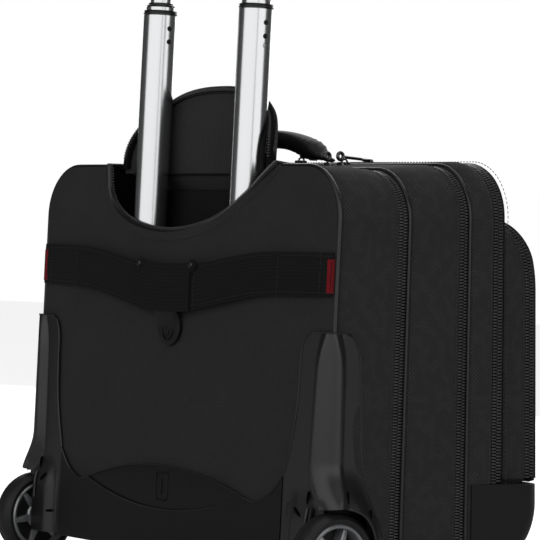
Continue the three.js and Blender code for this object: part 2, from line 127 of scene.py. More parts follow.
@dataclass(frozen=True)
class Outline:
    """A rounded rectangle seen from the back, measured round from the middle of its bottom edge."""

    half: float
    bottom: float
    top: float
    top_radius: float
    bottom_radius: float

    @property
    def girth(self) -> float:
        """The whole way round."""
        return 2 * sum(self._legs())

    def _legs(self) -> tuple[float, ...]:
        """Lengths from the middle of the bottom to the middle of the top: flat, arc, upright, arc, flat."""
        quarter = pi / 2
        upright = self.top - self.top_radius - self.bottom - self.bottom_radius
        arcs = (self.bottom_radius * quarter, self.top_radius * quarter)
        return (self.half - self.bottom_radius, arcs[0], upright, arcs[1], self.half - self.top_radius)

    def at(self, s: float) -> tuple[float, float, float, float]:
        """The outline at a distance along it.

        Args:
            s: Distance from the middle of the bottom, up the +X side first.

        Returns:
            x, z and the outward direction's x and z.
        """
        s = s % self.girth
        if s > self.girth / 2:
            x, z, nx, nz = self.at(self.girth - s)
            return -x, z, -nx, nz
        low, arc, upright, high, _ = self._legs()
        if s <= low:
            return s, self.bottom, 0.0, -1.0
        if s <= low + arc:
            a = (s - low) / self.bottom_radius
            r = self.bottom_radius
            return low + r * sin(a), self.bottom + r - r * cos(a), sin(a), -cos(a)
        s -= low + arc
        if s <= upright:
            return self.half, self.bottom + self.bottom_radius + s, 1.0, 0.0
        s -= upright
        if s <= high:
            a, r = s / self.top_radius, self.top_radius
            x = self.half - r + r * cos(a)
            return x, self.top - r + r * sin(a), cos(a), sin(a)
        return self.half - self.top_radius - (s - high), self.top, 0.0, 1.0

    def reach(self, z: float) -> float:
        """Distance along the outline at which its +X upright passes height z."""
        low, arc, *_ = self._legs()
        return low + arc + z - self.bottom - self.bottom_radius

    def inset(self, d: float) -> "Outline":
        """The same outline drawn in by d."""
        radii = (self.top_radius - d, self.bottom_radius - d)
        return Outline(self.half - d, self.bottom + d, self.top - d, *radii)


@dataclass(frozen=True)
class CaseForm:
    """Driving sizes of the whole case, read from the frame's solids."""

    back_plane: float
    half: float
    bottom: float
    top: float
    axle_y: float
    axle_z: float
    tube_x: float
    tube_y: float
    top_radius: float = 0.045
    bottom_radius: float = 0.03
    crown_height: float = 0.008
    lean: float = 0.3
    level: float = 0.3
    rise: float = 0.115
    rise_from: float = -0.06
    rise_base: float = 0.1
    pocket_bend_from: float = 0.262
    pocket_bend: float = 5.2
    well_half: float = 0.121
    well_front: float = -0.046

    @classmethod
    def from_frame(cls) -> "CaseForm":
        """Reads the case's planes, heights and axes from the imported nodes."""
        low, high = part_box("back_panel")
        wheel_low, wheel_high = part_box("tyre_left")
        tube_low, tube_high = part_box("stage1_tube_left")
        axle = (wheel_low + wheel_high) / 2
        tube = (tube_low + tube_high) / 2
        axle_depth = -0.006
        plane = axle.y - axle_depth
        return cls(plane, high.x, low.z, high.z, axle_depth, axle.z, tube.x, tube.y - plane)

    @property
    def outline(self) -> Outline:
        """The outline that every section shares."""
        return Outline(self.half, self.bottom, self.top, self.top_radius, self.bottom_radius)

    def crown(self, x: float) -> float:
        """How far the padded back bulges behind the piping plane."""
        return self.crown_height * (1 - (x / self.half) ** 2)

    def slump(self, p: Vector) -> Vector:
        """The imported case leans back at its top, and its top climbs towards the front."""
        share = min(max((p.z - self.rise_base) / (self.top - self.rise_base), 0.0), 1.2)
        climb = max(0.0, self.rise_from - p.y) * self.rise * share
        return Vector((p.x, p.y * (1 + self.lean * (self.level - p.z)), p.z + climb))

    def pocket_slump(self, p: Vector) -> Vector:
        """The front pocket also rolls back at its top."""
        q = self.slump(p)
        past = max(0.0, p.z - self.pocket_bend_from)
        share = smooth((-p.y - 0.192) / 0.035)
        return Vector((q.x, q.y + self.pocket_bend * past * past * share, q.z))


class Bench:
    """Adds primitives and runs edit-mode steps and modifiers on them, each as a Blender operator."""

    form: CaseForm

    @staticmethod
    def select(*objs: Piece) -> None:
        """Selects only these objects, the first one active."""
        bpy.ops.object.select_all(action="DESELECT")
        for obj in objs:
            obj.select_set(True)
        bpy.context.view_layer.objects.active = objs[0]

    @staticmethod
    @contextmanager
    def editing(obj: Piece, pick: Pick | None = None, domain: str = "FACE") -> Iterator[None]:
        """Opens an object in edit mode with what pick accepts selected.

        Args:
            obj: The object to edit.
            pick: Takes a place and a normal, and says whether the element is selected. None selects all.
            domain: VERT, EDGE or FACE.
        """
        Bench.select(obj)
        mesh = obj.data
        modes = {"VERT": (True, False, False), "EDGE": (False, True, False), "FACE": (False, False, True)}
        bpy.context.tool_settings.mesh_select_mode = modes[domain]
        for group in (mesh.vertices, mesh.edges, mesh.polygons):
            group.foreach_set("select", [pick is None] * len(group))
        if pick is not None and domain == "VERT":
            for v in mesh.vertices:
                v.select = pick(v.co, v.normal)
        if pick is not None and domain == "EDGE":
            for e in mesh.edges:
                a, b = (mesh.vertices[i] for i in e.vertices)
                e.select = pick((a.co + b.co) / 2, (a.co - b.co).normalized())
        if pick is not None and domain == "FACE":
            for f in mesh.polygons:
                f.select = pick(f.center, f.normal)
        bpy.ops.object.mode_set(mode="EDIT")
        yield
        bpy.ops.object.mode_set(mode="OBJECT")

    @staticmethod
    def added(operator: Callable[..., Any], stretch: Sequence[float] = (1, 1, 1), **settings: Any) -> Piece:
        """Adds a primitive at its place, stretched, with nothing else selected."""
        bpy.ops.object.select_all(action="DESELECT")
        operator(**settings)
        obj = bpy.context.object
        obj.scale = stretch
        bpy.ops.object.transform_apply(location=True, rotation=True, scale=True)
        return obj

    @staticmethod
    def flat_uv(obj: Piece) -> Piece:
        """Lays a piece's UV map on the plane of the back, in metres."""
        for loop, corner in zip(obj.data.loops, obj.data.uv_layers.active.data):
            point = obj.data.vertices[loop.vertex_index].co
            corner.uv = (point.x, point.z)
        return obj

    @staticmethod
    def reshape(obj: Piece, move: Callable[[Vector], Vector]) -> Piece:
        """Moves every vertex by a rule."""
        for v in obj.data.vertices:
            v.co = move(v.co.copy())
        obj.data.update()
        return obj

    @staticmethod
    def sheet(place: Place, columns: int, rows: int, cut: tuple[float, float]) -> Piece:
        """A grid laid out by a rule, with its cloth size as its UV map.

        Args:
            place: Gives a point for each pair of shares from 0 to 1.
            columns: Faces along the first share.
            rows: Faces along the second share.
            cut: The sheet's width and length, which scale the UV map to metres.

        Returns:
            The new object.
        """
        obj = Bench.added(
            bpy.ops.mesh.primitive_grid_add, x_subdivisions=columns, y_subdivisions=rows, size=1.0
        )
        Bench.reshape(obj, lambda p: Vector(place(p.x + 0.5, p.y + 0.5)))
        for loop in obj.data.uv_layers.active.data:
            loop.uv = (loop.uv[0] * cut[0], loop.uv[1] * cut[1])
        return obj

    @staticmethod
    def rolled(place: Place, columns: int, rows: int, cut: tuple[float, float]) -> Piece:
        """A closed or rolled-up sheet, whose meeting edges are merged and whose faces point out."""
        obj = Bench.sheet(place, columns, rows, cut)
        with Bench.editing(obj):
            bpy.ops.mesh.remove_doubles(threshold=1e-5)
            bpy.ops.mesh.normals_make_consistent(inside=False)
        return obj

    @staticmethod
    def facing(obj: Piece, core: Sequence[float], away: bool = True) -> Piece:
        """Turns an open sheet's faces away from a core point, or towards it."""
        middle = Vector(core)
        total = sum(f.normal.dot(f.center - middle) * f.area for f in obj.data.polygons)
        if (total > 0) != away:
            with Bench.editing(obj):
                bpy.ops.mesh.flip_normals()
        return obj

    @staticmethod
    def walled(place: Place, columns: int, rows: int, cut: tuple[float, float], core: Sequence[float],
               wall: float) -> Piece:
        """A sheet that faces away from a core point and has a wall behind its face."""
        return Bench.thicken(Bench.facing(Bench.sheet(place, columns, rows, cut), core), wall)

    @staticmethod
    def merged(obj: Piece) -> Piece:
        """Merges the edges of a rolled-up sheet where they meet."""
        with Bench.editing(obj):
            bpy.ops.mesh.remove_doubles(threshold=1e-5)
        return obj

    @staticmethod
    def apply(obj: Piece, kind: str, **settings: Any) -> Piece:
        """Adds a modifier with its settings and applies it."""
        Bench.select(obj)
        modifier = obj.modifiers.new(kind.title(), kind)
        for name, value in settings.items():
            setattr(modifier, name, value)
        bpy.ops.object.modifier_apply(modifier=modifier.name)
        return obj

    @staticmethod
    def thicken(obj: Piece, thickness: float) -> Piece:
        """Gives a sheet a wall behind its faces."""
        return Bench.apply(obj, "SOLIDIFY", thickness=thickness, offset=-1.0, use_even_offset=False)

    @staticmethod
    def cut(obj: Piece, cutter: Piece) -> Piece:
        """Takes the cutter's shape out of a piece and removes the cutter."""
        Bench.apply(obj, "BOOLEAN", operation="DIFFERENCE", object=cutter, solver="EXACT")
        bpy.data.objects.remove(cutter)
        return obj

    @staticmethod
    def box(low: Sequence[float], high: Sequence[float], bevel: float = 0.0, steps: int = 3) -> Piece:
        """A cube at its size and place with rounded edges.

        Args:
            low: Its lowest corner.
            high: Its highest corner.
            bevel: The radius of its edges.
            steps: Segments of each rounding.

        Returns:
            The new object.
        """
        middle = [(a + b) / 2 for a, b in zip(low, high)]
        size = [b - a for a, b in zip(low, high)]
        obj = Bench.added(bpy.ops.mesh.primitive_cube_add, size, size=1.0, location=middle)
        if bevel:
            with Bench.editing(obj, None, "EDGE"):
                bpy.ops.mesh.bevel(offset=bevel, segments=steps, affect="EDGES")
        return obj

    @staticmethod
    def ball(centre: Sequence[float], size: Sequence[float], segments: int = 16) -> Piece:
        """A sphere stretched to a size."""
        rings = segments // 2
        operator = bpy.ops.mesh.primitive_uv_sphere_add
        return Bench.added(operator, size, segments=segments, ring_count=rings, radius=0.5, location=centre)

    @staticmethod
    def turned(
        profile: Sequence[Sequence[float]], centre: Sequence[float], axis: str, steps: int = 48
    ) -> Piece:
        """A turned piece: a closed profile spun about an axis.

        Args:
            profile: (radius, height) corners in order round the section.
            centre: The point on the axis where height is 0.
            axis: X, Y or Z, the way height is measured.
            steps: Faces round the piece.

        Returns:
            The new object.
        """
        up = Vector({"X": (1, 0, 0), "Y": (0, 1, 0), "Z": (0, 0, 1)}[axis])
        out = Vector({"X": (0, 0, 1), "Y": (1, 0, 0), "Z": (1, 0, 0)}[axis])
        middle = Vector(centre)
        points = [middle + out * r + up * h for r, h in profile]
        mesh = bpy.data.meshes.new("turned")
        edges = [(i, (i + 1) % len(points)) for i in range(len(points))]
        mesh.from_pydata(points, edges, [])
        obj = bpy.data.objects.new("turned", mesh)
        bpy.context.scene.collection.objects.link(obj)
        with Bench.editing(obj, None, "VERT"):
            bpy.ops.mesh.spin(steps=steps, angle=2 * pi, center=middle, axis=up)
            bpy.ops.mesh.select_all(action="SELECT")
            bpy.ops.mesh.remove_doubles(threshold=1e-5)
            bpy.ops.mesh.normals_make_consistent(inside=False)
        return obj

    @staticmethod
    def cable(points: Sequence[Sequence[float]], radius: float, closed: bool = False) -> Piece:
        """A round cord or bead along points, made a mesh."""
        curve = bpy.data.curves.new("cable", "CURVE")
        curve.dimensions = "3D"
        curve.bevel_depth = radius
        curve.bevel_resolution = 2
        curve.use_fill_caps = not closed
        line = curve.splines.new("POLY")
        line.points.add(len(points) - 1)
        for knot, p in zip(line.points, points):
            knot.co = (*p, 1.0)
        line.use_cyclic_u = closed
        obj = bpy.data.objects.new("cable", curve)
        bpy.context.scene.collection.objects.link(obj)
        Bench.select(obj)
        bpy.ops.object.convert(target="MESH")
        return bpy.context.object

    @staticmethod
    def join(first: Piece, *others: Piece) -> Piece:
        """Joins pieces into the first."""
        if others:
            Bench.select(first, *others)
            bpy.ops.object.join()
        return first

    @staticmethod
    def strewn(one: Piece, places: Sequence[Station]) -> Piece:
        """Copies of one small model laid along a path.

        Args:
            one: The model, at the origin, long in X and standing in Z. It is removed.
            places: For each copy its point and its X, Y and Z directions.

        Returns:
            One object that holds all the copies.
        """
        shape = [v.co.copy() for v in one.data.vertices]
        faces = [tuple(f.vertices) for f in one.data.polygons]
        bpy.data.objects.remove(one)
        points, polygons = [], []
        for at, along, across, up in places:
            base = len(points)
            points += [at + along * c.x + across * c.y + up * c.z for c in shape]
            polygons += [tuple(base + i for i in f) for f in faces]
        mesh = bpy.data.meshes.new("strewn")
        mesh.from_pydata(points, [], polygons)
        obj = bpy.data.objects.new("strewn", mesh)
        bpy.context.scene.collection.objects.link(obj)
        return obj

    @staticmethod
    def mirror(obj: Piece, side: Side) -> Piece:
        """Mirrors a piece made for the left side if it is for the right."""
        if side is Side.RIGHT:
            Bench.reshape(obj, lambda p: Vector((-p.x, p.y, p.z)))
            with Bench.editing(obj):
                bpy.ops.mesh.flip_normals()
        return obj

    @staticmethod
    def finish(
        obj: Piece,
        name: str,
        body: str | tuple[str, str],
        material: bpy.types.Material,
        slot: str,
        replaces: Sequence[str] = (),
        slump: Callable[[Vector], Vector] | None = None,
        angle: float = 40.0,
        hinge: tuple[Sequence[float], Sequence[float]] | None = None,
    ) -> Piece:
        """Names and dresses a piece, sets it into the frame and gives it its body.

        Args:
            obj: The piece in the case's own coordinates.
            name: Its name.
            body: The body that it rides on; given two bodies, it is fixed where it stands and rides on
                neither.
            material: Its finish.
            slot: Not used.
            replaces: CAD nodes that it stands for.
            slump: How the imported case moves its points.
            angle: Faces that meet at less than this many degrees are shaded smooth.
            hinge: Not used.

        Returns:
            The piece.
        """
        if slump is not None:
            Bench.reshape(obj, slump)
        Bench.reshape(obj, lambda p: p + Vector((0.0, Bench.form.back_plane, 0.0)))
        obj.name = obj.data.name = name
        obj.data.materials.clear()
        obj.data.materials.append(material)
        Bench.select(obj)
        bpy.ops.object.shade_smooth_by_angle(angle=radians(angle))
        if isinstance(body, tuple):
            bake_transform(obj)
        else:
            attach(obj, body)
        if replaces:
            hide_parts(*replaces)
        LOG.info("%s: %d faces on %s", name, len(obj.data.polygons), body)
        return obj


class Signal:
    """A shader socket that takes part in Python arithmetic, each step a Math node."""

    def __init__(self, shader: "Shader", socket: bpy.types.NodeSocket) -> None:
        """Wraps an output socket of a shader's tree."""
        self.shader = shader
        self.socket = socket

    def _math(self, operation: str, *values: "Signal | float") -> "Signal":
        """Adds one Math node."""
        node = self.shader.node("ShaderNodeMath", {"operation": operation}, dict(enumerate(values)))
        return Signal(self.shader, node.outputs[0])

    def __add__(self, other: "Signal | float") -> "Signal":
        """Sum."""
        return self._math("ADD", self, other)

    def __sub__(self, other: "Signal | float") -> "Signal":
        """Difference."""
        return self._math("SUBTRACT", self, other)

    def __rsub__(self, other: float) -> "Signal":
        """Reflected difference."""
        return self._math("SUBTRACT", other, self)

    def __mul__(self, other: "Signal | float") -> "Signal":
        """Product."""
        return self._math("MULTIPLY", self, other)

    __radd__ = __add__
    __rmul__ = __mul__

    def sin(self) -> "Signal":
        """Sine."""
        return self._math("SINE", self)

    def ramp(self, low: float, high: float) -> "Signal":
        """0 below low and 1 above high, smooth between."""
        settings = {"interpolation_type": "SMOOTHSTEP"}
        node = self.shader.node("ShaderNodeMapRange", settings, {0: self, 1: low, 2: high})
        return Signal(self.shader, node.outputs[0])


class Shader:
    """One material's node tree."""

    def __init__(self, name: str) -> None:
        """Starts a material with its Principled shader."""
        self.material = bpy.data.materials.new(name)
        self.material.use_nodes = True
        self.tree = self.material.node_tree
        self.surface = self.tree.nodes["Principled BSDF"]

    def node(self, kind: str, settings: dict[str, Any], inputs: dict[Any, Any]) -> bpy.types.Node:
        """Adds any node.

        Args:
            kind: The node's type.
            settings: Its properties, which are set first.
            inputs: Values, or Signals to link, by socket name or number.

        Returns:
            The new node.
        """
        made = self.tree.nodes.new(kind)
        for name, value in settings.items():
            setattr(made, name, value)
        for name, value in inputs.items():
            self.feed(made.inputs[name], value)
        return made

    def feed(self, socket: bpy.types.NodeSocket, value: Any) -> None:
        """Links a Signal to a socket, or sets its value."""
        if isinstance(value, Signal):
            self.tree.links.new(value.socket, socket)
        else:
            socket.default_value = value

    def coordinates(self, uv: bool) -> tuple[Signal, Signal, Signal, Signal]:
        """The surface's own place as x, y, z and a vector, from the UV map or the object."""
        source = self.node("ShaderNodeTexCoord", {}, {})
        vector = Signal(self, source.outputs["UV" if uv else "Object"])
        split = self.node("ShaderNodeSeparateXYZ", {}, {0: vector})
        return (*(Signal(self, split.outputs[i]) for i in range(3)), vector)

    def noise(self, vector: Signal, scale: float, detail: float = 2.0) -> Signal:
        """Soft noise from 0 to 1."""
        node = self.node("ShaderNodeTexNoise", {}, {"Vector": vector, "Scale": scale, "Detail": detail})
        return Signal(self, node.outputs["Fac"])

    def stretched(self, vector: Signal, scale: Sequence[float]) -> Signal:
        """A vector scaled by axis."""
        node = self.node("ShaderNodeMapping", {}, {"Vector": vector, "Scale": tuple(scale)})
        return Signal(self, node.outputs[0])

    def mixed(self, factor: Signal, dark: Sequence[float], light: Sequence[float]) -> Signal:
        """A colour between two."""
        inputs = {0: factor, 6: (*dark, 1.0), 7: (*light, 1.0)}
        node = self.node("ShaderNodeMix", {"data_type": "RGBA"}, inputs)
        return Signal(self, node.outputs[2])

    def bump(self, height: Signal, distance: float, strength: float = 1.0) -> None:
        """Feeds a height to the surface's normal."""
        inputs = {"Height": height, "Distance": distance, "Strength": strength}
        node = self.node("ShaderNodeBump", {}, inputs)
        self.tree.links.new(node.outputs[0], self.surface.inputs["Normal"])

    def set(self, **values: Any) -> None:
        """Sets the surface's own sockets, named with _ for a space."""
        for name, value in values.items():
            self.feed(self.surface.inputs[name.replace("_", " ")], value)


def tint(colour: Sequence[float], factor: float) -> Triple:
    """A colour made darker or lighter."""
    return tuple(c * factor for c in colour)


class Weave(Enum):
    """How a cloth's yarns show."""

    PLAIN = "plain"
    DOBBY = "dobby"
    WEBBING = "webbing"
    LINING = "lining"


@dataclass(frozen=True)
class Cloth:
    """A woven finish whose pattern follows the piece's UV map in metres."""

    name: str
    colour: Triple
    weave: Weave
    pitch: float = 0.0012
    relief: float = 0.00025
    roughness: float = 0.85
    sheen: float = 0.03
    gloss: float = 0.18
    contrast: float = 0.35

    def make(self) -> bpy.types.Material:
        """Builds the material."""
        s = Shader(self.name)
        u, v, _, vector = s.coordinates(uv=True)
        turn = 2 * pi / self.pitch
        across, along = (u * turn).sin(), (v * turn).sin()
        slub = s.noise(s.stretched(vector, (900.0, 120.0, 1.0)), 1.0)
        patch = s.noise(vector, 22.0, 3.0)
        if self.weave is Weave.DOBBY:
            dots = (across * along).ramp(0.15, 0.75)
            checks = s.noise(vector, 95.0, 0.0).ramp(0.46, 0.6)
            yarn = dots * (0.25 + 0.75 * checks)
            height = yarn + slub * 0.3
        elif self.weave is Weave.WEBBING:
            yarn = (v * (turn * 0.5)).sin() * 0.5 + 0.5
            height = yarn + across * 0.25
            yarn = yarn * 0.6 + slub * 0.4
        else:
            yarn = (across * 0.5 + 0.5) * 0.55 + slub * 0.45
            height = yarn + along * 0.22
        tone = yarn * 0.7 + patch * 0.3
        dark, light = tint(self.colour, 1 - self.contrast), tint(self.colour, 1 + self.contrast)
        s.set(
            Base_Color=s.mixed(tone.ramp(0.1, 0.9), dark, light),
            Roughness=self.roughness - 0.12 * yarn,
            Sheen_Weight=self.sheen,
            Sheen_Roughness=0.5,
            Specular_IOR_Level=self.gloss,
        )
        s.bump(height, self.relief)
        return s.material


@dataclass(frozen=True)
class Moulded:
    """A moulded plastic or rubber with a fine grain and soft marks of wear."""

    name: str
    colour: Triple
    roughness: float = 0.38
    grain: float = 0.00004
    grain_scale: float = 1600.0
    coat: float = 0.0
    metallic: float = 0.0
    gloss: float = 0.5

    def make(self) -> bpy.types.Material:
        """Builds the material."""
        s = Shader(self.name)
        *_, vector = s.coordinates(uv=False)
        grain = s.noise(vector, self.grain_scale, 1.0)
        wear = s.noise(vector, 35.0, 4.0)
        s.set(
            Base_Color=s.mixed(wear.ramp(0.3, 0.8), tint(self.colour, 0.85), tint(self.colour, 1.2)),
            Roughness=(self.roughness - 0.05) + 0.12 * wear,
            Metallic=self.metallic,
            Specular_IOR_Level=self.gloss,
            Coat_Weight=self.coat,
            Coat_Roughness=0.25,
        )
        s.bump(grain, self.grain)
        return s.material


@dataclass(frozen=True)
class DrawnMetal:
    """Drawn aluminium or plated steel with fine lines along Z."""

    name: str
    colour: Triple
    roughness: float = 0.22
    line: float = 0.000006

    def make(self) -> bpy.types.Material:
        """Builds the material."""
        s = Shader(self.name)
        *_, vector = s.coordinates(uv=False)
        lines = s.noise(s.stretched(vector, (2600.0, 2600.0, 12.0)), 1.0, 1.0)
        marks = s.noise(vector, 18.0, 3.0)
        s.set(
            Base_Color=s.mixed(lines, tint(self.colour, 0.93), self.colour),
            Roughness=(self.roughness - 0.04) + 0.05 * lines + 0.04 * marks,
            Metallic=1.0,
        )
        s.bump(lines, self.line)
        return s.material


class Finishes:
    """The case's materials, each made once."""

    def __init__(self) -> None:
        """Makes every finish."""
        self.back = Cloth("back cloth", (0.0275, 0.0275, 0.0283), Weave.PLAIN, pitch=0.0014).make()
        self.side = Cloth("dobby side cloth", (0.0385, 0.0385, 0.0395), Weave.DOBBY, pitch=0.0034).make()
        self.flap = Cloth("flap cloth", (0.031, 0.031, 0.0318), Weave.PLAIN, pitch=0.0018).make()
        webbing = (0.0085, 0.0085, 0.009)
        strap = Cloth("webbing", webbing, Weave.WEBBING, 0.0016, 0.00012, contrast=0.2, gloss=0.12)
        self.webbing = strap.make()
        tape = Cloth("zip tape", (0.0036, 0.0036, 0.004), Weave.WEBBING, pitch=0.0012, gloss=0.08)
        self.tape = tape.make()
        lining = Cloth("grey lining", (0.085, 0.088, 0.094), Weave.LINING, pitch=0.0016, contrast=0.15)
        self.lining = lining.make()
        # Near-black lining, far darker than the case's cloth: painted shade for the deep well, and on the
        # guards for the slit holes.
        dark = Cloth("well lining", (0.0022, 0.0022, 0.0025), Weave.LINING, sheen=0.0, gloss=0.08)
        self.dark_lining = dark.make()
        padding = Moulded("coated padding", (0.005, 0.005, 0.0054), 0.55, 0.0001, 900.0, gloss=0.3)
        self.padding = padding.make()
        self.piping = Moulded("piping", (0.0065, 0.0065, 0.007), 0.32, coat=0.1).make()
        self.guard = Moulded("satin moulding", (0.0068, 0.0068, 0.0072), 0.37, gloss=0.68).make()
        self.plate = Moulded("dull moulding", (0.004, 0.004, 0.0044), 0.5, gloss=0.3).make()
        self.boot = Moulded("coated boot", (0.008, 0.008, 0.0085), 0.62, 0.00008, 1100.0, gloss=0.3).make()
        self.rubber = Moulded("rubber", (0.005, 0.005, 0.0054), 0.55, 0.00006, 700.0, gloss=0.3).make()
        self.tread = Moulded("tyre", (0.012, 0.012, 0.0125), 0.5, 0.00005, 500.0, gloss=0.35).make()
        self.board = Moulded("fluted board", (0.0065, 0.0065, 0.007), 0.7, gloss=0.15).make()
        self.silver = Moulded("silver paint", (0.3, 0.31, 0.32), 0.3, coat=0.3, metallic=0.6).make()
        self.coil = Moulded("zip coil", (0.045, 0.045, 0.047), 0.32, coat=0.3).make()
        self.thread = Moulded("thread", (0.026, 0.026, 0.028), 0.55).make()
        self.dark_thread = Moulded("dark thread", (0.012, 0.012, 0.013), 0.6).make()
        self.red = Cloth("red tab", (0.3, 0.006, 0.014), Weave.WEBBING, pitch=0.0014, contrast=0.2).make()
        self.aluminium = DrawnMetal("drawn aluminium", (0.8, 0.81, 0.82)).make()
        self.steel = DrawnMetal("plated steel", (0.42, 0.43, 0.44), 0.3).make()
        self.gunmetal = DrawnMetal("gunmetal", (0.1, 0.1, 0.105), 0.28).make()


@dataclass(frozen=True)
class Sewing:
    """Stitches and pipings that several sub-assemblies share."""

    stitch_length: float = 0.0026
    stitch_pitch: float = 0.004
    stitch_radius: float = 0.00032

    def stitches(self, path: Sequence[Vector], up: Sequence[Vector] | None = None) -> Piece:
        """A line of stitches.

        Args:
            path: Points along the seam.
            up: The cloth's outward direction at each point. None is rearward all along.

        Returns:
            One object that holds every stitch.
        """
        half = Vector((self.stitch_length, self.stitch_radius * 2, self.stitch_radius * 2)) / 2
        one = Bench.box(-half, half, self.stitch_radius * 0.7, 1)
        return Bench.strewn(one, stations(path, up or [REARWARD] * len(path), self.stitch_pitch))

    def piping(self, outline: Outline, y: float, start: float, end: float, radius: float) -> Piece:
        """A round welt along a stretch of an outline.

        Args:
            outline: The line it follows.
            y: Its plane.
            start: Where it starts along the outline.
            end: Where it ends.
            radius: Its radius.

        Returns:
            The new object.
        """
        columns = max(12, round((end - start) / 0.005))

        def place(u: float, w: float) -> Triple:
            """A ring of the welt at each station."""
            x, z, nx, nz = outline.at(start + (end - start) * u)
            a = 2 * pi * w
            return x + nx * radius * cos(a), y + radius * sin(a), z + nz * radius * cos(a)

        return Bench.rolled(place, columns, 12, (end - start, 2 * pi * radius))


def stations(path: Sequence[Vector], up: Sequence[Vector], pitch: float, shift: float = 0.0) -> list[Station]:
    """Evenly spaced places along a path.

    Args:
        path: The path's points.
        up: Outward direction at each point.
        pitch: Distance between places.
        shift: Distance of the first place from the path's start.

    Returns:
        A point and its along, across and up directions for each place.
    """
    found, due = [], shift
    for a, b, n in zip(path, path[1:], up):
        step = b - a
        length = step.length
        if length < 1e-9:
            continue
        along = step / length
        across = n.cross(along).normalized()
        while due <= length:
            found.append((a + along * due, along, across, along.cross(across)))
            due += pitch
        due -= length
    return found


def outline_path(
    outline: Outline, y: float, start: float, end: float, lift: float = 0.0
) -> tuple[list[Vector], list[Vector]]:
    """Points and outward directions along a stretch of an outline, lifted off it."""
    count = max(8, round(abs(end - start) / 0.004))
    points, ups = [], []
    for i in range(count + 1):
        x, z, nx, nz = outline.at(start + (end - start) * i / count)
        points.append(Vector((x + nx * lift, y, z + nz * lift)))
        ups.append(Vector((nx, 0.0, nz)))
    return points, ups


@dataclass
class SubAssembly:
    """What every sub-assembly is made with."""

    form: CaseForm
    finishes: Finishes
    sewing: Sewing


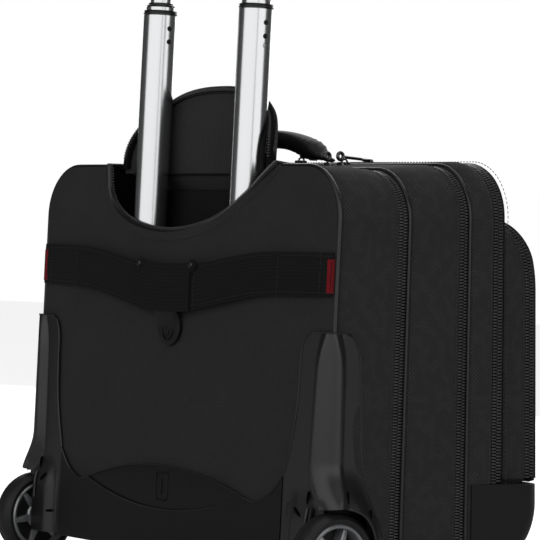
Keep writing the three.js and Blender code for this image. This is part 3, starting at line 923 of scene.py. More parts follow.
@dataclass
class BackPanel(SubAssembly):
    """The padded back with its U-shaped mouth, its edge piping and the red side tabs."""

    kick_half: float = 0.1655
    shoulder: float = 0.096
    thickness: float = 0.0035
    rows: int = 60
    welt: float = 0.0023
    mouth_welt: float = 0.0024
    tab_low: float = 0.262
    tab_high: float = 0.291
    mouth_across: Knots = (
        (0.0, 0.1155), (0.05, 0.114), (0.12, 0.112), (0.2, 0.103), (0.28, 0.085), (0.38, 0.056),
        (0.5, 0.018), (0.62, -0.021), (0.74, -0.059), (0.86, -0.095), (0.93, -0.114), (1.0, -0.132),
    )
    mouth_drop: Knots = (
        (0.0, 0.0015), (0.05, -0.008), (0.12, -0.021), (0.2, -0.035), (0.28, -0.047), (0.38, -0.0555),
        (0.5, -0.059), (0.62, -0.055), (0.74, -0.044), (0.86, -0.0235), (0.93, -0.0095), (1.0, 0.003),
    )

    def mouth(self, t: float) -> Triple:
        """The mouth's edge on the bulging back, from its +X end (0) to its -X end (1)."""
        x, z = eased(t, self.mouth_across), self.form.top + eased(t, self.mouth_drop)
        return x, self.form.crown(x) * self.edge_fade(x, self.form.top), z

    def edge_fade(self, x: float, z: float) -> float:
        """The bulge dies away at the panel's own rim."""
        side = min(1.0, (self.form.half - abs(x)) / 0.03)
        top = min(1.0, max(0.0, (self.form.top - z) / 0.05))
        return 0.35 + 0.65 * smooth(side) * smooth(0.35 + 0.65 * top)

    def columns(self) -> list[tuple[float, float]]:
        """Places across the back with the panel's upper edge there, close together where it turns."""
        f = self.form
        mouth = [self.mouth(1 - i / 64)[::2] for i in range(65)]
        places = []
        for start, sign in ((-mouth[0][0], -1), (mouth[-1][0], 1)):
            flat = f.half - f.top_radius
            xs = [start + (flat - start) * i / 8 for i in range(1, 9)] + [self.kick_half + 1e-4]
            xs += [flat + f.top_radius * sin(pi / 2 * i / 12) for i in range(1, 13)]
            places.append(sorted((sign * x, self.ceiling(x)) for x in sorted(set(xs))))
        return [*places[0], *mouth, *places[1]]

    def ceiling(self, x: float) -> float:
        """The panel's upper edge beside the mouth."""
        f = self.form
        over = max(0.0, x - (f.half - f.top_radius))
        return f.top - f.top_radius + sqrt(max(0.0, f.top_radius**2 - over**2))

    def build(self) -> None:
        """Builds the panel, its mouth's trim, the edge piping and the tabs."""
        f, fin = self.form, self.finishes
        xs = self.columns()

        def place(u: float, w: float) -> Triple:
            """A column of the panel, from its foot to its upper edge."""
            x, high = xs[round(u * (len(xs) - 1))]
            low = f.bottom + 0.002 if abs(x) < self.kick_half else self.shoulder
            z = low + (high - low) * w
            pucker = 0.0006 * sin(x * 61) * sin(z * 37 + 1.1)
            return x, f.crown(x) * self.edge_fade(x, z) - 0.0002 + pucker, z

        panel = Bench.sheet(place, len(xs) - 1, self.rows, (2 * f.half, f.top - f.bottom))
        Bench.flat_uv(panel)
        Bench.facing(panel, (0, -1, 0.2))
        Bench.thicken(panel, self.thickness)
        Bench.finish(panel, "back_panel_cloth", "root", fin.back, "back_fabric", ["back_panel"])
        self.trim_mouth()
        self.trim_edge()

    def trim_mouth(self) -> None:
        """The U's piping, its seam and the half zip that the flap closes on."""
        fin, count = self.finishes, 90
        edge = [Vector(self.mouth(i / count)) for i in range(count + 1)]
        returns = (-0.012, -0.026, -0.04)
        left = [Vector((edge[0].x, y, self.form.top + 0.0015)) for y in reversed(returns)]
        right = [Vector((edge[-1].x, y, self.form.top + 0.0015)) for y in returns]
        line = [*left, *edge, *right]
        welt = Bench.cable(line, self.mouth_welt)
        Bench.finish(welt, "well_mouth_piping", "root", fin.piping, "back_fabric")
        last = len(line) - 1
        along = [(line[min(i + 1, last)] - line[max(i - 1, 0)]).normalized() for i in range(last + 1)]
        inner = [p + REARWARD.cross(t) * 0.0024 - REARWARD * 0.0014 for p, t in zip(line, along)]

        def tape(u: float, w: float) -> Vector:
            """From the piping, across to the tape's inner edge."""
            i = round(u * last)
            return line[i].lerp(inner[i], w)

        band = Bench.sheet(tape, last, 3, (0.4, 0.01))
        Bench.apply(band, "SOLIDIFY", thickness=0.0008, offset=0.0)
        Bench.finish(band, "well_mouth_tape", "root", fin.tape, "zip_coil")
        crest = [p + REARWARD.cross(t) * 0.003 - REARWARD * 0.0012 for p, t in zip(line, along)]
        half = Vector((0.0012, 0.0036, 0.0016)) / 2
        tooth = Bench.box(-half, half, 0.0005, 2)
        teeth = Bench.strewn(tooth, stations(crest, [REARWARD] * len(crest), 0.0025))
        Bench.finish(teeth, "well_mouth_teeth", "root", fin.coil, "zip_coil")
        seam = [p - REARWARD.cross(t) * 0.008 for p, t in zip(line, along)]
        seam = seam[len(left) : -len(right)]
        seam = [Vector((p.x, self.form.crown(p.x) * self.edge_fade(p.x, p.z) + 0.0003, p.z)) for p in seam]
        stitches = self.sewing.stitches(seam)
        Bench.finish(stitches, "well_mouth_stitches", "root", fin.thread, "back_fabric")

    def trim_edge(self) -> None:
        """The glossy piping round the back and the two red tabs at the strap's ends."""
        f, fin = self.form, self.finishes
        line = f.outline.inset(-0.0004)
        top = line.girth / 2
        reach = line.reach(0.215)
        welt = Bench.join(
            self.sewing.piping(line, -0.0022, reach, top - self.mouth_across[0][1], self.welt),
            self.sewing.piping(line, -0.0022, top - self.mouth_across[-1][1], line.girth - reach, self.welt),
        )
        Bench.finish(welt, "back_edge_piping", "root", fin.piping, "side_fabric", slump=f.slump)
        for side in Side:
            tab = Bench.box(
                (f.half - 0.0072, -0.001, self.tab_low), (f.half - 0.002, 0.0036, self.tab_high), 0.0009
            )
            loop = Bench.box(
                (f.half - 0.003, 0.0, self.tab_low), (f.half - 0.0006, 0.003, self.tab_high), 0.0006
            )
            tab = Bench.mirror(Bench.join(tab, loop), side)
            Bench.finish(tab, f"side_tab_{side.hand}", "root", fin.red, "webbing")


@dataclass
class BackStrap(SubAssembly):
    """The wide strap that slides over another case's handle, with its middle patch and pull tongue."""

    half: float = 0.2135
    stand: float = 0.0065
    thickness: float = 0.002
    patch: float = 0.037
    upper: Knots = ((0.0, 0.2815), (0.04, 0.2825), (0.09, 0.29), (0.13, 0.295), (0.2135, 0.2965))
    lower: Knots = ((0.0, 0.24), (0.04, 0.2425), (0.09, 0.2515), (0.13, 0.2575), (0.2135, 0.2595))

    def surface(self, x: float, lift: float = 0.0) -> float:
        """The strap's outer face at x."""
        share = 1 - min(1.0, (x / 0.203) ** 2)
        return self.form.crown(x) + 0.0005 + self.thickness + self.stand * share + lift

    def build(self) -> None:
        """Builds the strap, its patch, seams, ears and tongue."""
        fin = self.finishes

        def place(u: float, w: float) -> Triple:
            """Across the strap, then up it."""
            x = self.half * (2 * u - 1)
            low, high = eased(abs(x), self.lower), eased(abs(x), self.upper)
            return x, self.surface(x) + 0.0006 * sin(pi * w), low + (high - low) * w

        strap = Bench.walled(place, 96, 10, (2 * self.half, 0.041), (0, -1, 0.27), self.thickness)
        Bench.finish(strap, "strap_webbing", "root", fin.webbing, "webbing", ["back_strap"])

        def overlay(u: float, w: float) -> Triple:
            """The patch, a little proud of the strap."""
            x = self.patch * (2 * u - 1)
            low, high = eased(abs(x), self.lower) - 0.0012, eased(abs(x), self.upper) + 0.0012
            return x, self.surface(x, 0.0017) + 0.0008 * sin(pi * w), low + (high - low) * w

        patch = Bench.walled(overlay, 24, 10, (2 * self.patch, 0.043), (0, -1, 0.27), 0.0015)
        Bench.finish(patch, "strap_patch", "root", fin.webbing, "webbing")
        self.build_seams()
        self.build_tongue()

    def build_seams(self) -> None:
        """The stitched edges and the uprights where the strap is sewn down, and the small ears."""
        fin, lines = self.finishes, []
        for knots, inside in ((self.upper, -0.003), (self.lower, 0.003)):
            xs = [self.half * (i / 40 - 1) for i in range(81)]
            path = [Vector((x, self.surface(x, 0.0005), eased(abs(x), knots) + inside)) for x in xs]
            lines.append(self.sewing.stitches(path))
        for x in (-0.2, -0.15, -0.041, 0.041, 0.15, 0.2):
            low, high = eased(abs(x), self.lower), eased(abs(x), self.upper)
            path = [Vector((x, self.surface(x, 0.0006), low + (high - low) * i / 6)) for i in range(7)]
            lines.append(self.sewing.stitches(path))
        seams = Bench.join(*lines)
        Bench.finish(seams, "strap_stitches", "root", fin.dark_thread, "webbing")
        for side in Side:
            x = side.value * (self.patch + 0.0015)
            z = eased(self.patch, self.upper) - 0.001
            ear = Bench.ball((x, self.surface(x, 0.001), z), (0.0125, 0.005, 0.0125), 24)
            Bench.finish(ear, f"strap_ear_{side.hand}", "root", fin.webbing, "webbing")
            profile = [(0.0, 0.0), (0.0024, 0.0), (0.0021, 0.0009), (0.0, 0.0013)]
            rivet = Bench.turned(profile, (x, self.surface(x, 0.0034), z), "Y", 20)
            Bench.finish(rivet, f"strap_rivet_{side.hand}", "root", fin.gunmetal, "zip_metal")

    def build_tongue(self) -> None:
        """The rubber pull tongue with its raised oval."""
        f, half, low, high = self.form, 0.0165, 0.2095, 0.242
        base = f.crown(0) + 0.0012

        def place(u: float, w: float) -> Triple:
            """The tongue, round at its foot and lifting at its top."""
            x = half * sin(pi / 2 * (2 * u - 1))
            bottom = low + half - sqrt(max(0.0, half**2 - x**2))
            rim = smooth(min(1.0, (half - abs(x)) / 0.004))
            z = bottom + (high - bottom) * w
            return x, base + 0.0022 + 0.0012 * rim * smooth(w * 6) + 0.006 * smooth(w * 1.2 - 0.2) * w, z

        tongue = Bench.walled(place, 24, 20, (2 * half, high - low), (0, -1, 0.22), 0.003)
        ring = [
            Vector((0.0075 * cos(a), base + 0.004, 0.2235 + 0.0092 * sin(a)))
            for a in (2 * pi * i / 40 for i in range(40))
        ]
        tongue = Bench.join(tongue, Bench.cable(ring, 0.0008, closed=True))
        bar = Bench.box((-0.0022, base + 0.0032, 0.219), (0.0022, base + 0.0046, 0.228), 0.0006, 2)
        tongue = Bench.join(tongue, bar)
        Bench.finish(
            tongue, "strap_tongue", "root", self.finishes.rubber, "rubber", ["strap_pull_tab"], angle=60
        )


@dataclass
class KickPlate(SubAssembly):
    """The dull plate across the foot of the back, with its lens-shaped inlay."""

    half: float = 0.1655
    bottom: float = 0.025
    tray_front: float = -0.06
    lift: float = 0.003
    inlay_half: float = 0.118
    tip: float = 0.084
    up: float = 0.019
    down: float = 0.02
    shoulder: Knots = ((0.118, 0.0838), (0.13, 0.0815), (0.141, 0.085), (0.152, 0.0915), (0.1655, 0.106))

    def lens(self, x: float, rise: float) -> float:
        """The inlay's upper or lower edge at x."""
        return self.tip + rise * (1 - (x / self.inlay_half) ** 2)

    def build(self) -> None:
        """Builds the plate, its inlay, the rim between them and a plain badge."""
        f, fin = self.form, self.finishes
        corner = 0.006

        def plate(u: float, w: float) -> Triple:
            """Down the plate, round its foot and forwards under the case."""
            x = self.half * (2 * u - 1)
            inside = abs(x) <= self.inlay_half
            top = self.lens(x, -self.down) if inside else eased(abs(x), self.shoulder)
            y = f.crown(x) + self.lift
            if w < 0.7:
                return x, y, top + (self.bottom + corner - top) * w / 0.7
            if w < 0.85:
                a = pi / 2 * (w - 0.7) / 0.15
                return x, y - corner * (1 - cos(a)), self.bottom + corner * (1 - sin(a))
            return x, y - corner + (self.tray_front - y + corner) * (w - 0.85) / 0.15, self.bottom

        skin = Bench.walled(plate, 110, 40, (0.33, 0.13), (0, -0.03, 0.07), 0.0025)
        Bench.finish(skin, "kick_plate_moulding", "root", fin.plate, "moulding", ["kick_plate"])

        def inlay(u: float, w: float) -> Triple:
            """The lens, slightly dished."""
            x = self.inlay_half * 0.999 * sin(pi / 2 * (2 * u - 1))
            low, high = self.lens(x, -self.down), self.lens(x, self.up)
            dish = 0.0009 * (1 - (2 * w - 1) ** 2) * (1 - (x / self.inlay_half) ** 2)
            return x, f.crown(x) + self.lift - 0.0011 + dish, low + (high - low) * w

        panel = Bench.walled(inlay, 90, 14, (0.236, 0.039), (0, -1, 0.08), 0.0018)
        face = f.crown(0) + self.lift - 0.0002
        wide, tall, r = 0.0085, 0.012, 0.003
        ring = [
            (cx + r * cos(a), face, self.tip + cz + r * sin(a))
            for cx, cz, turn in ((wide - r, tall - r, 0), (r - wide, tall - r, 1),
                                 (r - wide, r - tall, 2), (wide - r, r - tall, 3))
            for a in (pi / 2 * (turn + i / 6) for i in range(7))
        ]
        badge = Bench.cable(ring, 0.0009, closed=True)
        low, high = (-0.001, face - 0.001, self.tip - 0.007), (0.001, face + 0.0009, self.tip + 0.007)
        panel = Bench.join(panel, Bench.join(badge, Bench.box(low, high, 0.0005, 2)))
        Bench.finish(panel, "inlay_panel", "root", fin.plate, "moulding", ["kick_plate_inlay"])
        steps = 80
        rims = []
        for rise, radius in ((-self.down, 0.0008), (self.up, 0.0004)):
            xs = [self.inlay_half * (2 * i / steps - 1) for i in range(steps + 1)]
            rims.append(
                Bench.cable([(x, f.crown(x) + self.lift + 0.0001, self.lens(x, rise)) for x in xs], radius)
            )
        for sign in (1, -1):
            xs = [self.inlay_half + (self.half - self.inlay_half) * i / 24 for i in range(25)]
            line = [(sign * x, f.crown(x) + self.lift, eased(x, self.shoulder)) for x in xs]
            rims.append(Bench.cable(line, 0.0007))
        Bench.finish(Bench.join(*rims), "kick_plate_rim", "root", fin.guard, "moulding")


@dataclass
class WheelGuard(SubAssembly):
    """The moulded guard on a lower back corner: flanges, a ridge, a flared skirt and the wheel's housing."""

    side_plane: float = 0.2173
    back_lift: float = 0.0022
    corner: float = 0.016
    top: float = 0.2295
    ridge_height: float = 0.0065
    well_radius: float = 0.0445
    housing_inner: float = 0.1665
    housing_outer: float = 0.207
    inner_edge: Knots = (
        (0.027, 0.166), (0.098, 0.166), (0.106, 0.1662), (0.136, 0.1742), (0.16, 0.1785),
        (0.19, 0.1805), (0.208, 0.1808), (0.218, 0.1825), (0.225, 0.1862), (0.2295, 0.193),
    )
    front_edge: Knots = (
        (0.04, -0.066), (0.052, -0.0655), (0.067, -0.0615), (0.081, -0.0535), (0.103, -0.0425),
        (0.125, -0.0365), (0.153, -0.034), (0.195, -0.0312), (0.208, -0.03), (0.218, -0.027),
        (0.225, -0.0225), (0.2295, -0.014),
    )
    ridge_width: Knots = (
        (0.07, 0.002), (0.085, 0.0028), (0.097, 0.0068), (0.115, 0.0088), (0.16, 0.0078),
        (0.2, 0.0066), (0.213, 0.005), (0.2295, 0.001),
    )
    ridge_slope: float = 0.0085

    @property
    def bend(self) -> float:
        """Half the way round the corner."""
        return self.corner * pi / 4

    @property
    def centre(self) -> tuple[float, float]:
        """The middle of the corner's rounding, its x and y."""
        x = self.side_plane - self.corner
        return x, self.back_lift + self.form.crown(x) - self.corner

    def point(self, d: float, z: float) -> Vector:
        """The guard's skin.

        Args:
            d: Distance round the corner from its middle, negative along the back.
            z: Height.

        Returns:
            The point for the left side.
        """
        f, r, bend, centre = self.form, self.corner, self.bend, self.centre
        if d < -bend:
            x = centre[0] - (-d - bend)
            base, normal = Vector((x, f.crown(x) + self.back_lift, z)), Vector((0, 1, 0))
        elif d > bend:
            base, normal = Vector((self.side_plane, centre[1] - (d - bend), z)), Vector((1, 0, 0))
        else:
            a = pi / 4 - d / r
            normal = Vector((cos(a), sin(a), 0))
            base = Vector((centre[0] + r * normal.x, centre[1] + r * normal.y, z))
        width = eased(z, self.ridge_width)
        ridge = self.ridge_height * (1 - smooth((abs(d) - width) / self.ridge_slope))
        flare = 0.0185 * smooth((0.122 - z) / 0.044) ** 1.15
        edge = self.reach(z)[1]
        share = smooth((d + 0.016) / 0.018) * smooth((edge - d) / 0.03)
        out = base + normal * ridge + Vector((flare * share, 0.0, 0.0))
        leg = smooth((0.1 - z) / 0.03) * smooth((out.x - 0.172) / 0.016)
        if d < -bend * 0.5:
            out.y += 0.005 * leg
        return out

    def reach(self, z: float) -> tuple[float, float]:
        """How far round the corner the back flange and the side flange go at a height."""
        x, y = self.centre
        return x - eased(z, self.inner_edge) + self.bend, y - eased(z, self.front_edge) + self.bend

    def skin(self) -> Piece:
        """The whole outer skin, thick, with the wheel's arch and the slits cut."""

        def place(u: float, w: float) -> Vector:
            """Round the corner, with more columns on the ridge."""
            z = self.top + (0.027 - self.top) * w
            inner, outer = self.reach(z)
            knee = 0.0175
            if u < 0.3:
                d = -inner + (inner - knee) * u / 0.3
            elif u < 0.72:
                d = knee * (2 * (u - 0.3) / 0.42 - 1)
            else:
                d = knee + (outer - knee) * (u - 0.72) / 0.28
            return self.point(d, z)

        shell = Bench.walled(place, 90, 110, (0.08, 0.2), (0.19, -0.03, 0.12), 0.0022)
        f = self.form
        arch = Bench.added(
            bpy.ops.mesh.primitive_cylinder_add, vertices=96, radius=self.well_radius, depth=0.05,
            location=(0.2325, f.axle_y, f.axle_z), rotation=(0, pi / 2, 0),
        )
        low = Bench.box((0.2075, -0.08, 0.0), (0.26, 0.02, 0.046))
        return Bench.cut(Bench.cut(shell, arch), low)

    def slits(self) -> list[Piece]:
        """The drain slits, as sunk lenses in a near-black finish that is painted shade for the holes."""
        made = []
        for x, z, size, turn in ((0.1995, 0.09, (0.0026, 0.004, 0.013), 0.0),
                                 (0.1905, 0.078, (0.003, 0.004, 0.0125), -0.9),
                                 (0.18, 0.047, (0.0115, 0.004, 0.0028), 0.1)):
            slit = Bench.ball((0, 0, 0), size, 16)
            spin = Matrix.Rotation(turn, 4, "Y")
            base = self.point(x - self.centre[0] - self.bend, z)
            made.append(Bench.reshape(slit, lambda p, s=spin, b=base: s @ p + b))
        for y, z, size in ((-0.012, 0.092, (0.003, 0.0026, 0.014)), (-0.046, 0.077, (0.003, 0.0022, 0.012))):
            made.append(Bench.ball(self.point(self.centre[1] - y + self.bend, z), size, 16))
        return made

    def housing(self) -> list[Piece]:
        """The box between the wheel and the case, the well's roof and the arch's rolled lip."""
        f = self.form
        box = Bench.box((self.housing_inner, -0.0515, 0.0272), (self.housing_outer, 0.0055, 0.09), 0.007, 5)
        sweep, start = radians(164), radians(8)

        def roof(u: float, w: float) -> Triple:
            """Round the wheel, then across its tread."""
            a = start + sweep * u
            r = self.well_radius + 0.0022
            x = self.housing_outer - 0.001 + 0.0125 * w
            return x, min(f.axle_y - r * cos(a), 0.004), f.axle_z + r * sin(a)

        arch = Bench.sheet(roof, 60, 6, (0.17, 0.03))
        Bench.apply(arch, "SOLIDIFY", thickness=0.002, offset=1.0)
        lip = []
        for i in range(71):
            a = radians(-2) + radians(158) * i / 70
            y, z = f.axle_y - self.well_radius * cos(a), f.axle_z + self.well_radius * sin(a)
            past, bend = y - self.centre[1], self.bend
            d = bend - past if past <= 0 else -bend * min(1.0, past / self.corner)
            p = self.point(max(d, -bend), max(z, 0.047))
            if z > 0.05:
                lip.append(Vector((p.x - 0.0004, min(y, p.y + 0.001), z)))
        return [box, arch, Bench.cable(lip, 0.0014)]

    def rim(self) -> Piece:
        """The fine bead round the guard's flanges."""
        inner = [(-self.reach(z)[0], z) for z in (0.108 + (self.top - 0.108) * i / 50 for i in range(51))]
        outer = [(self.reach(z)[1], z) for z in (self.top + (0.058 - self.top) * i / 60 for i in range(61))]
        steps = 16
        start, end = inner[-1][0], outer[0][0]
        top = [(start + (end - start) * i / steps, self.top) for i in range(1, steps)]
        return Bench.cable([self.point(d, z) for d, z in (*inner, *top, *outer)], 0.0008)

    def build(self, side: Side) -> None:
        """Builds one side's guard and its slits."""
        bead = Bench.mirror(self.rim(), side)
        Bench.finish(bead, f"guard_rim_{side.hand}", "root", self.finishes.guard, "moulding")
        guard = Bench.mirror(Bench.join(self.skin(), *self.housing()), side)
        name = f"wheel_guard_{side.hand}"
        Bench.finish(
            guard, f"guard_moulding_{side.hand}", "root", self.finishes.guard, "moulding", [name], angle=50
        )
        # The slits' near-black finish is painted shade standing in for open holes.
        slits = Bench.mirror(Bench.join(*self.slits()), side)
        Bench.finish(slits, f"guard_slits_{side.hand}", "root", self.finishes.dark_lining, "moulding")


@dataclass
class Wheel(SubAssembly):
    """A grooved tyre on a silver spoked rim with its bearing, cap and axle."""

    inner: float = 0.21
    width: float = 0.022
    radius: float = 0.04
    rim: float = 0.0314
    spokes: int = 6

    def centre(self) -> Vector:
        """The middle of the left wheel's tread."""
        return Vector((self.inner + self.width / 2, self.form.axle_y, self.form.axle_z))

    def turn(self, side: Side, profile: Sequence[Sequence[float]], steps: int, inward: float = 0) -> Piece:
        """A turned ring of one wheel, its heights measured outwards from the middle of the tread."""
        centre = self.centre() - Vector((inward, 0, 0))
        return Bench.mirror(Bench.turned(profile, centre, "X", steps), side)

    def silver(self, side: Side) -> Piece:
        """The rim's ring, its hub and its spokes."""
        c, h, q = self.centre(), self.width / 2, self.rim
        ring = Bench.turned(
            [(q, 0.0018 - h), (q, h - 0.0018), (q - 0.0012, h - 0.0004), (q - 0.003, h - 0.001),
             (q - 0.0042, h - 0.0036), (q - 0.0046, 0), (q - 0.0042, 0.0036 - h), (q - 0.003, 0.001 - h),
             (q - 0.0012, 0.0004 - h)], c, "X", 96)
        hub = Bench.turned(
            [(0.0094, 0.003 - h), (0.0094, h - 0.003), (0.0125, h - 0.003), (0.0138, h - 0.0045),
             (0.0138, 0.0045 - h), (0.0125, 0.003 - h)], c, "X", 48)
        arms = []
        for i in range(self.spokes):
            arm = Bench.box((0.004 - h, -0.0021, 0.0128), (h - 0.004, 0.0021, q - 0.003), 0.0008, 2)
            with Bench.editing(arm, lambda p, n: p.z < 0.016, "VERT"):
                bpy.ops.transform.resize(value=(1.15, 1.7, 1.0))
            turn = Matrix.Rotation(2 * pi * (i + 0.3) / self.spokes, 4, "X")
            arms.append(Bench.reshape(arm, lambda p, t=turn: t @ p + c))
        return Bench.mirror(Bench.join(ring, hub, *arms), side)

    def build(self, side: Side) -> None:
        """Builds one wheel and its axle."""
        fin, h, r, q, hand = self.finishes, self.width / 2, self.radius, self.rim, side.hand
        body = f"wheel_{hand}"
        crown = [(r - 0.0004, 0.0055 - h), (r - 0.0003, -0.0045), (r - 0.0012, -0.004), (r - 0.0003, -0.0035),
                 (r, 0), (r - 0.0003, 0.0035), (r - 0.0012, 0.004), (r - 0.0003, 0.0045),
                 (r - 0.0004, h - 0.0055)]
        tyre = self.turn(side, [
            (q + 0.0003, 0.0015 - h), (q + 0.003, 0.0004 - h), (r - 0.0045, -h), (r - 0.0018, 0.0022 - h),
            *crown, (r - 0.0018, h - 0.0022), (r - 0.0045, h), (q + 0.003, h - 0.0004),
            (q + 0.0003, h - 0.0015)], 96)
        Bench.finish(tyre, f"tyre_rubber_{hand}", body, fin.tread, "rubber", [f"tyre_{hand}"])
        rim = self.silver(side)
        Bench.finish(rim, f"rim_silver_{hand}", body, fin.silver, "rim_silver", [f"rim_{hand}"])
        web = [(0.0135, -0.0016), (0.0135, 0.0016), (q - 0.004, 0.001), (q - 0.004, -0.001)]
        web = self.turn(side, web, 48, h - 0.0075)
        Bench.finish(web, f"rim_web_{hand}", body, fin.plate, "rim_silver")
        race = self.turn(side, [
            (0.0043, 0.0035 - h), (0.0043, h - 0.0035), (0.006, h - 0.0035), (0.0063, h - 0.0041),
            (0.007, h - 0.0041), (0.0073, h - 0.0035), (0.009, h - 0.0035), (0.009, 0.0035 - h)], 40)
        Bench.finish(race, f"bearing_race_{hand}", body, fin.steel, "steel", [f"bearing_{hand}"])
        cap = self.turn(side, [
            (0.0064, h - 0.0026), (0.0064, h + 0.0002), (0.0075, h + 0.0004), (0.01, h + 0.0001),
            (0.0118, h - 0.0012), (0.012, h - 0.0026)], 40)
        Bench.finish(cap, f"hub_cap_ring_{hand}", body, fin.guard, "moulding", [f"hub_cap_{hand}"])
        axle = self.turn(side, [
            (0, -0.025), (0.0068, -0.025), (0.0068, -0.0197), (0.0039, -0.0195), (0.0039, h - 0.0002),
            (0.0058, h), (0.0058, h + 0.0012), (0.004, h + 0.0019), (0, h + 0.002)], 32)
        Bench.finish(axle, f"axle_pin_{hand}", "root", fin.steel, "steel", [f"axle_{hand}"])


@dataclass(frozen=True)
class Stage:
    """One sliding pair of tubes, and the collar that closes it."""

    number: int
    word: str
    bottom: float
    top: float
    outer: float
    inner: float
    collar_at: float = 0
    collar: Knots = ()


@dataclass
class Handle(SubAssembly):
    """The telescopic handle: three nested tubes a side, their collars and rivets, the grip and its button."""

    stages: tuple[Stage, ...] = (
        Stage(1, "first", 0.238, 0.508, 0.015, 0.0136, 0.5083,
              ((0.0134, 0.0037), (0.0149, 0), (0.0154, 0.0005), (0.0154, 0.0012), (0.0147, 0.0018),
               (0.0147, 0.0024), (0.0152, 0.0029), (0.0148, 0.0037))),
        Stage(2, "second", 0.246, 0.5155, 0.013, 0.0117, 0.5158,
              ((0.0099, 0.0032), (0.0126, 0), (0.0129, 0.0006), (0.0122, 0.0012), (0.0113, 0.0016),
               (0.0113, 0.0024), (0.0108, 0.0032))),
        Stage(3, "third", 0.475, 0.755, 0.0095, 0.008),
    )

    def tube(self, side: Side, bottom: float, top: float, outer: float, inner: float) -> Piece:
        """One tube with eased ends."""
        c = (side.value * self.form.tube_x, self.form.tube_y, 0.0)
        ease = 0.0005
        profile = [(inner, bottom), (outer - ease, bottom), (outer, bottom + ease), (outer, top - ease),
                   (outer - ease, top), (inner, top)]
        return Bench.turned(profile, c, "Z", 72)

    def collar(self, side: Side, bottom: float, steps: Sequence[tuple[float, float]]) -> Piece:
        """A stepped ring.

        Args:
            side: The tube's side.
            bottom: Its lower face.
            steps: (radius, height) corners outside, after the bore's radius and the height of its top.
        """
        c = (side.value * self.form.tube_x, self.form.tube_y, bottom)
        bore, height = steps[0]
        return Bench.turned([(bore, 0.0), *steps[1:], (bore, height)], c, "Z", 64)

    def build_side(self, side: Side) -> None:
        """Builds one side's tubes, collars, rivets and snap pin."""
        fin, hand = self.finishes, side.hand
        fixed = self.tube(side, 0.046, 0.311, 0.017, 0.0155)
        Bench.finish(fixed, f"outer_tube_{hand}", "root", fin.aluminium, "aluminium", [f"fixed_tube_{hand}"])
        for stage in self.stages:
            body, node = f"handle_stage{stage.number}", f"stage{stage.number}"
            tube = self.tube(side, stage.bottom, stage.top, stage.outer, stage.inner)
            name, stands_for = f"{stage.word}_tube_{hand}", [f"{node}_tube_{hand}"]
            Bench.finish(tube, name, body, fin.aluminium, "aluminium", stands_for)
            if stage.collar:
                ring = self.collar(side, stage.collar_at, stage.collar)
                name, stands_for = f"{stage.word}_collar_{hand}", [f"{node}_collar_{hand}"]
                Bench.finish(ring, name, body, fin.piping, "moulding", stands_for)
        x, y = side.value * self.form.tube_x, self.form.tube_y
        studs = []
        for z in (0.4955, 0.4835):
            profile = [(0.0, 0.0), (0.0024, 0.0), (0.0023, 0.0004), (0.0, 0.00065)]
            stud = Bench.turned(profile, (0, 0, 0), "X", 20)
            studs.append(Bench.reshape(stud, lambda p, z=z: Vector((x - 0.0147 - p.x, y + p.y, z + p.z))))
        studs = Bench.join(*studs)
        with Bench.editing(studs):
            bpy.ops.mesh.normals_make_consistent(inside=False)
        Bench.finish(studs, f"tube_rivets_{hand}", "handle_stage1", fin.rubber, "moulding")
        if side is Side.RIGHT:
            pin = Bench.ball((x - 0.01385, y, 0.4755), (0.0032, 0.0056, 0.0064), 24)
            Bench.finish(pin, "tube_snap_pin", "handle_stage1", fin.steel, "steel")

    def build(self) -> None:
        """Builds both sides, the grip and the button."""
        fin, y = self.finishes, self.form.tube_y
        for side in Side:
            self.build_side(side)
        half, low, high = 0.093, 0.741, 0.773
        grip = Bench.box((-half, y - 0.013, low), (half, y + 0.013, high))
        with Bench.editing(grip, lambda p, d: abs(d.x) > 0.9, "EDGE"):
            bpy.ops.mesh.bevel(offset=0.01, segments=8, affect="EDGES")
        with Bench.editing(grip, lambda c, n: abs(n.x) > 0.9):
            bpy.ops.mesh.inset(thickness=0.0022, depth=0.0018)
        Bench.cut(grip, Bench.box((-0.0175, y - 0.006, high - 0.007), (0.0175, y + 0.006, high + 0.01)))
        pads = []
        for i in range(9):
            x = -0.052 + 0.013 * i
            if abs(x) > 0.02:
                pads.append(Bench.box((x - 0.0025, y - 0.0138, low + 0.009), (x + 0.0025, y - 0.012,
                                      high - 0.009), 0.0008, 2))
        grip = Bench.join(grip, *pads)
        Bench.finish(grip, "grip_moulding", "handle_stage3", fin.guard, "moulding", ["grip"])
        button = Bench.box((-0.017, y - 0.0055, high - 0.0035), (0.017, y + 0.0055, high + 0.003), 0.0016, 3)
        Bench.finish(button, "button_cap", "release_button", fin.rubber, "moulding", ["release_button"])


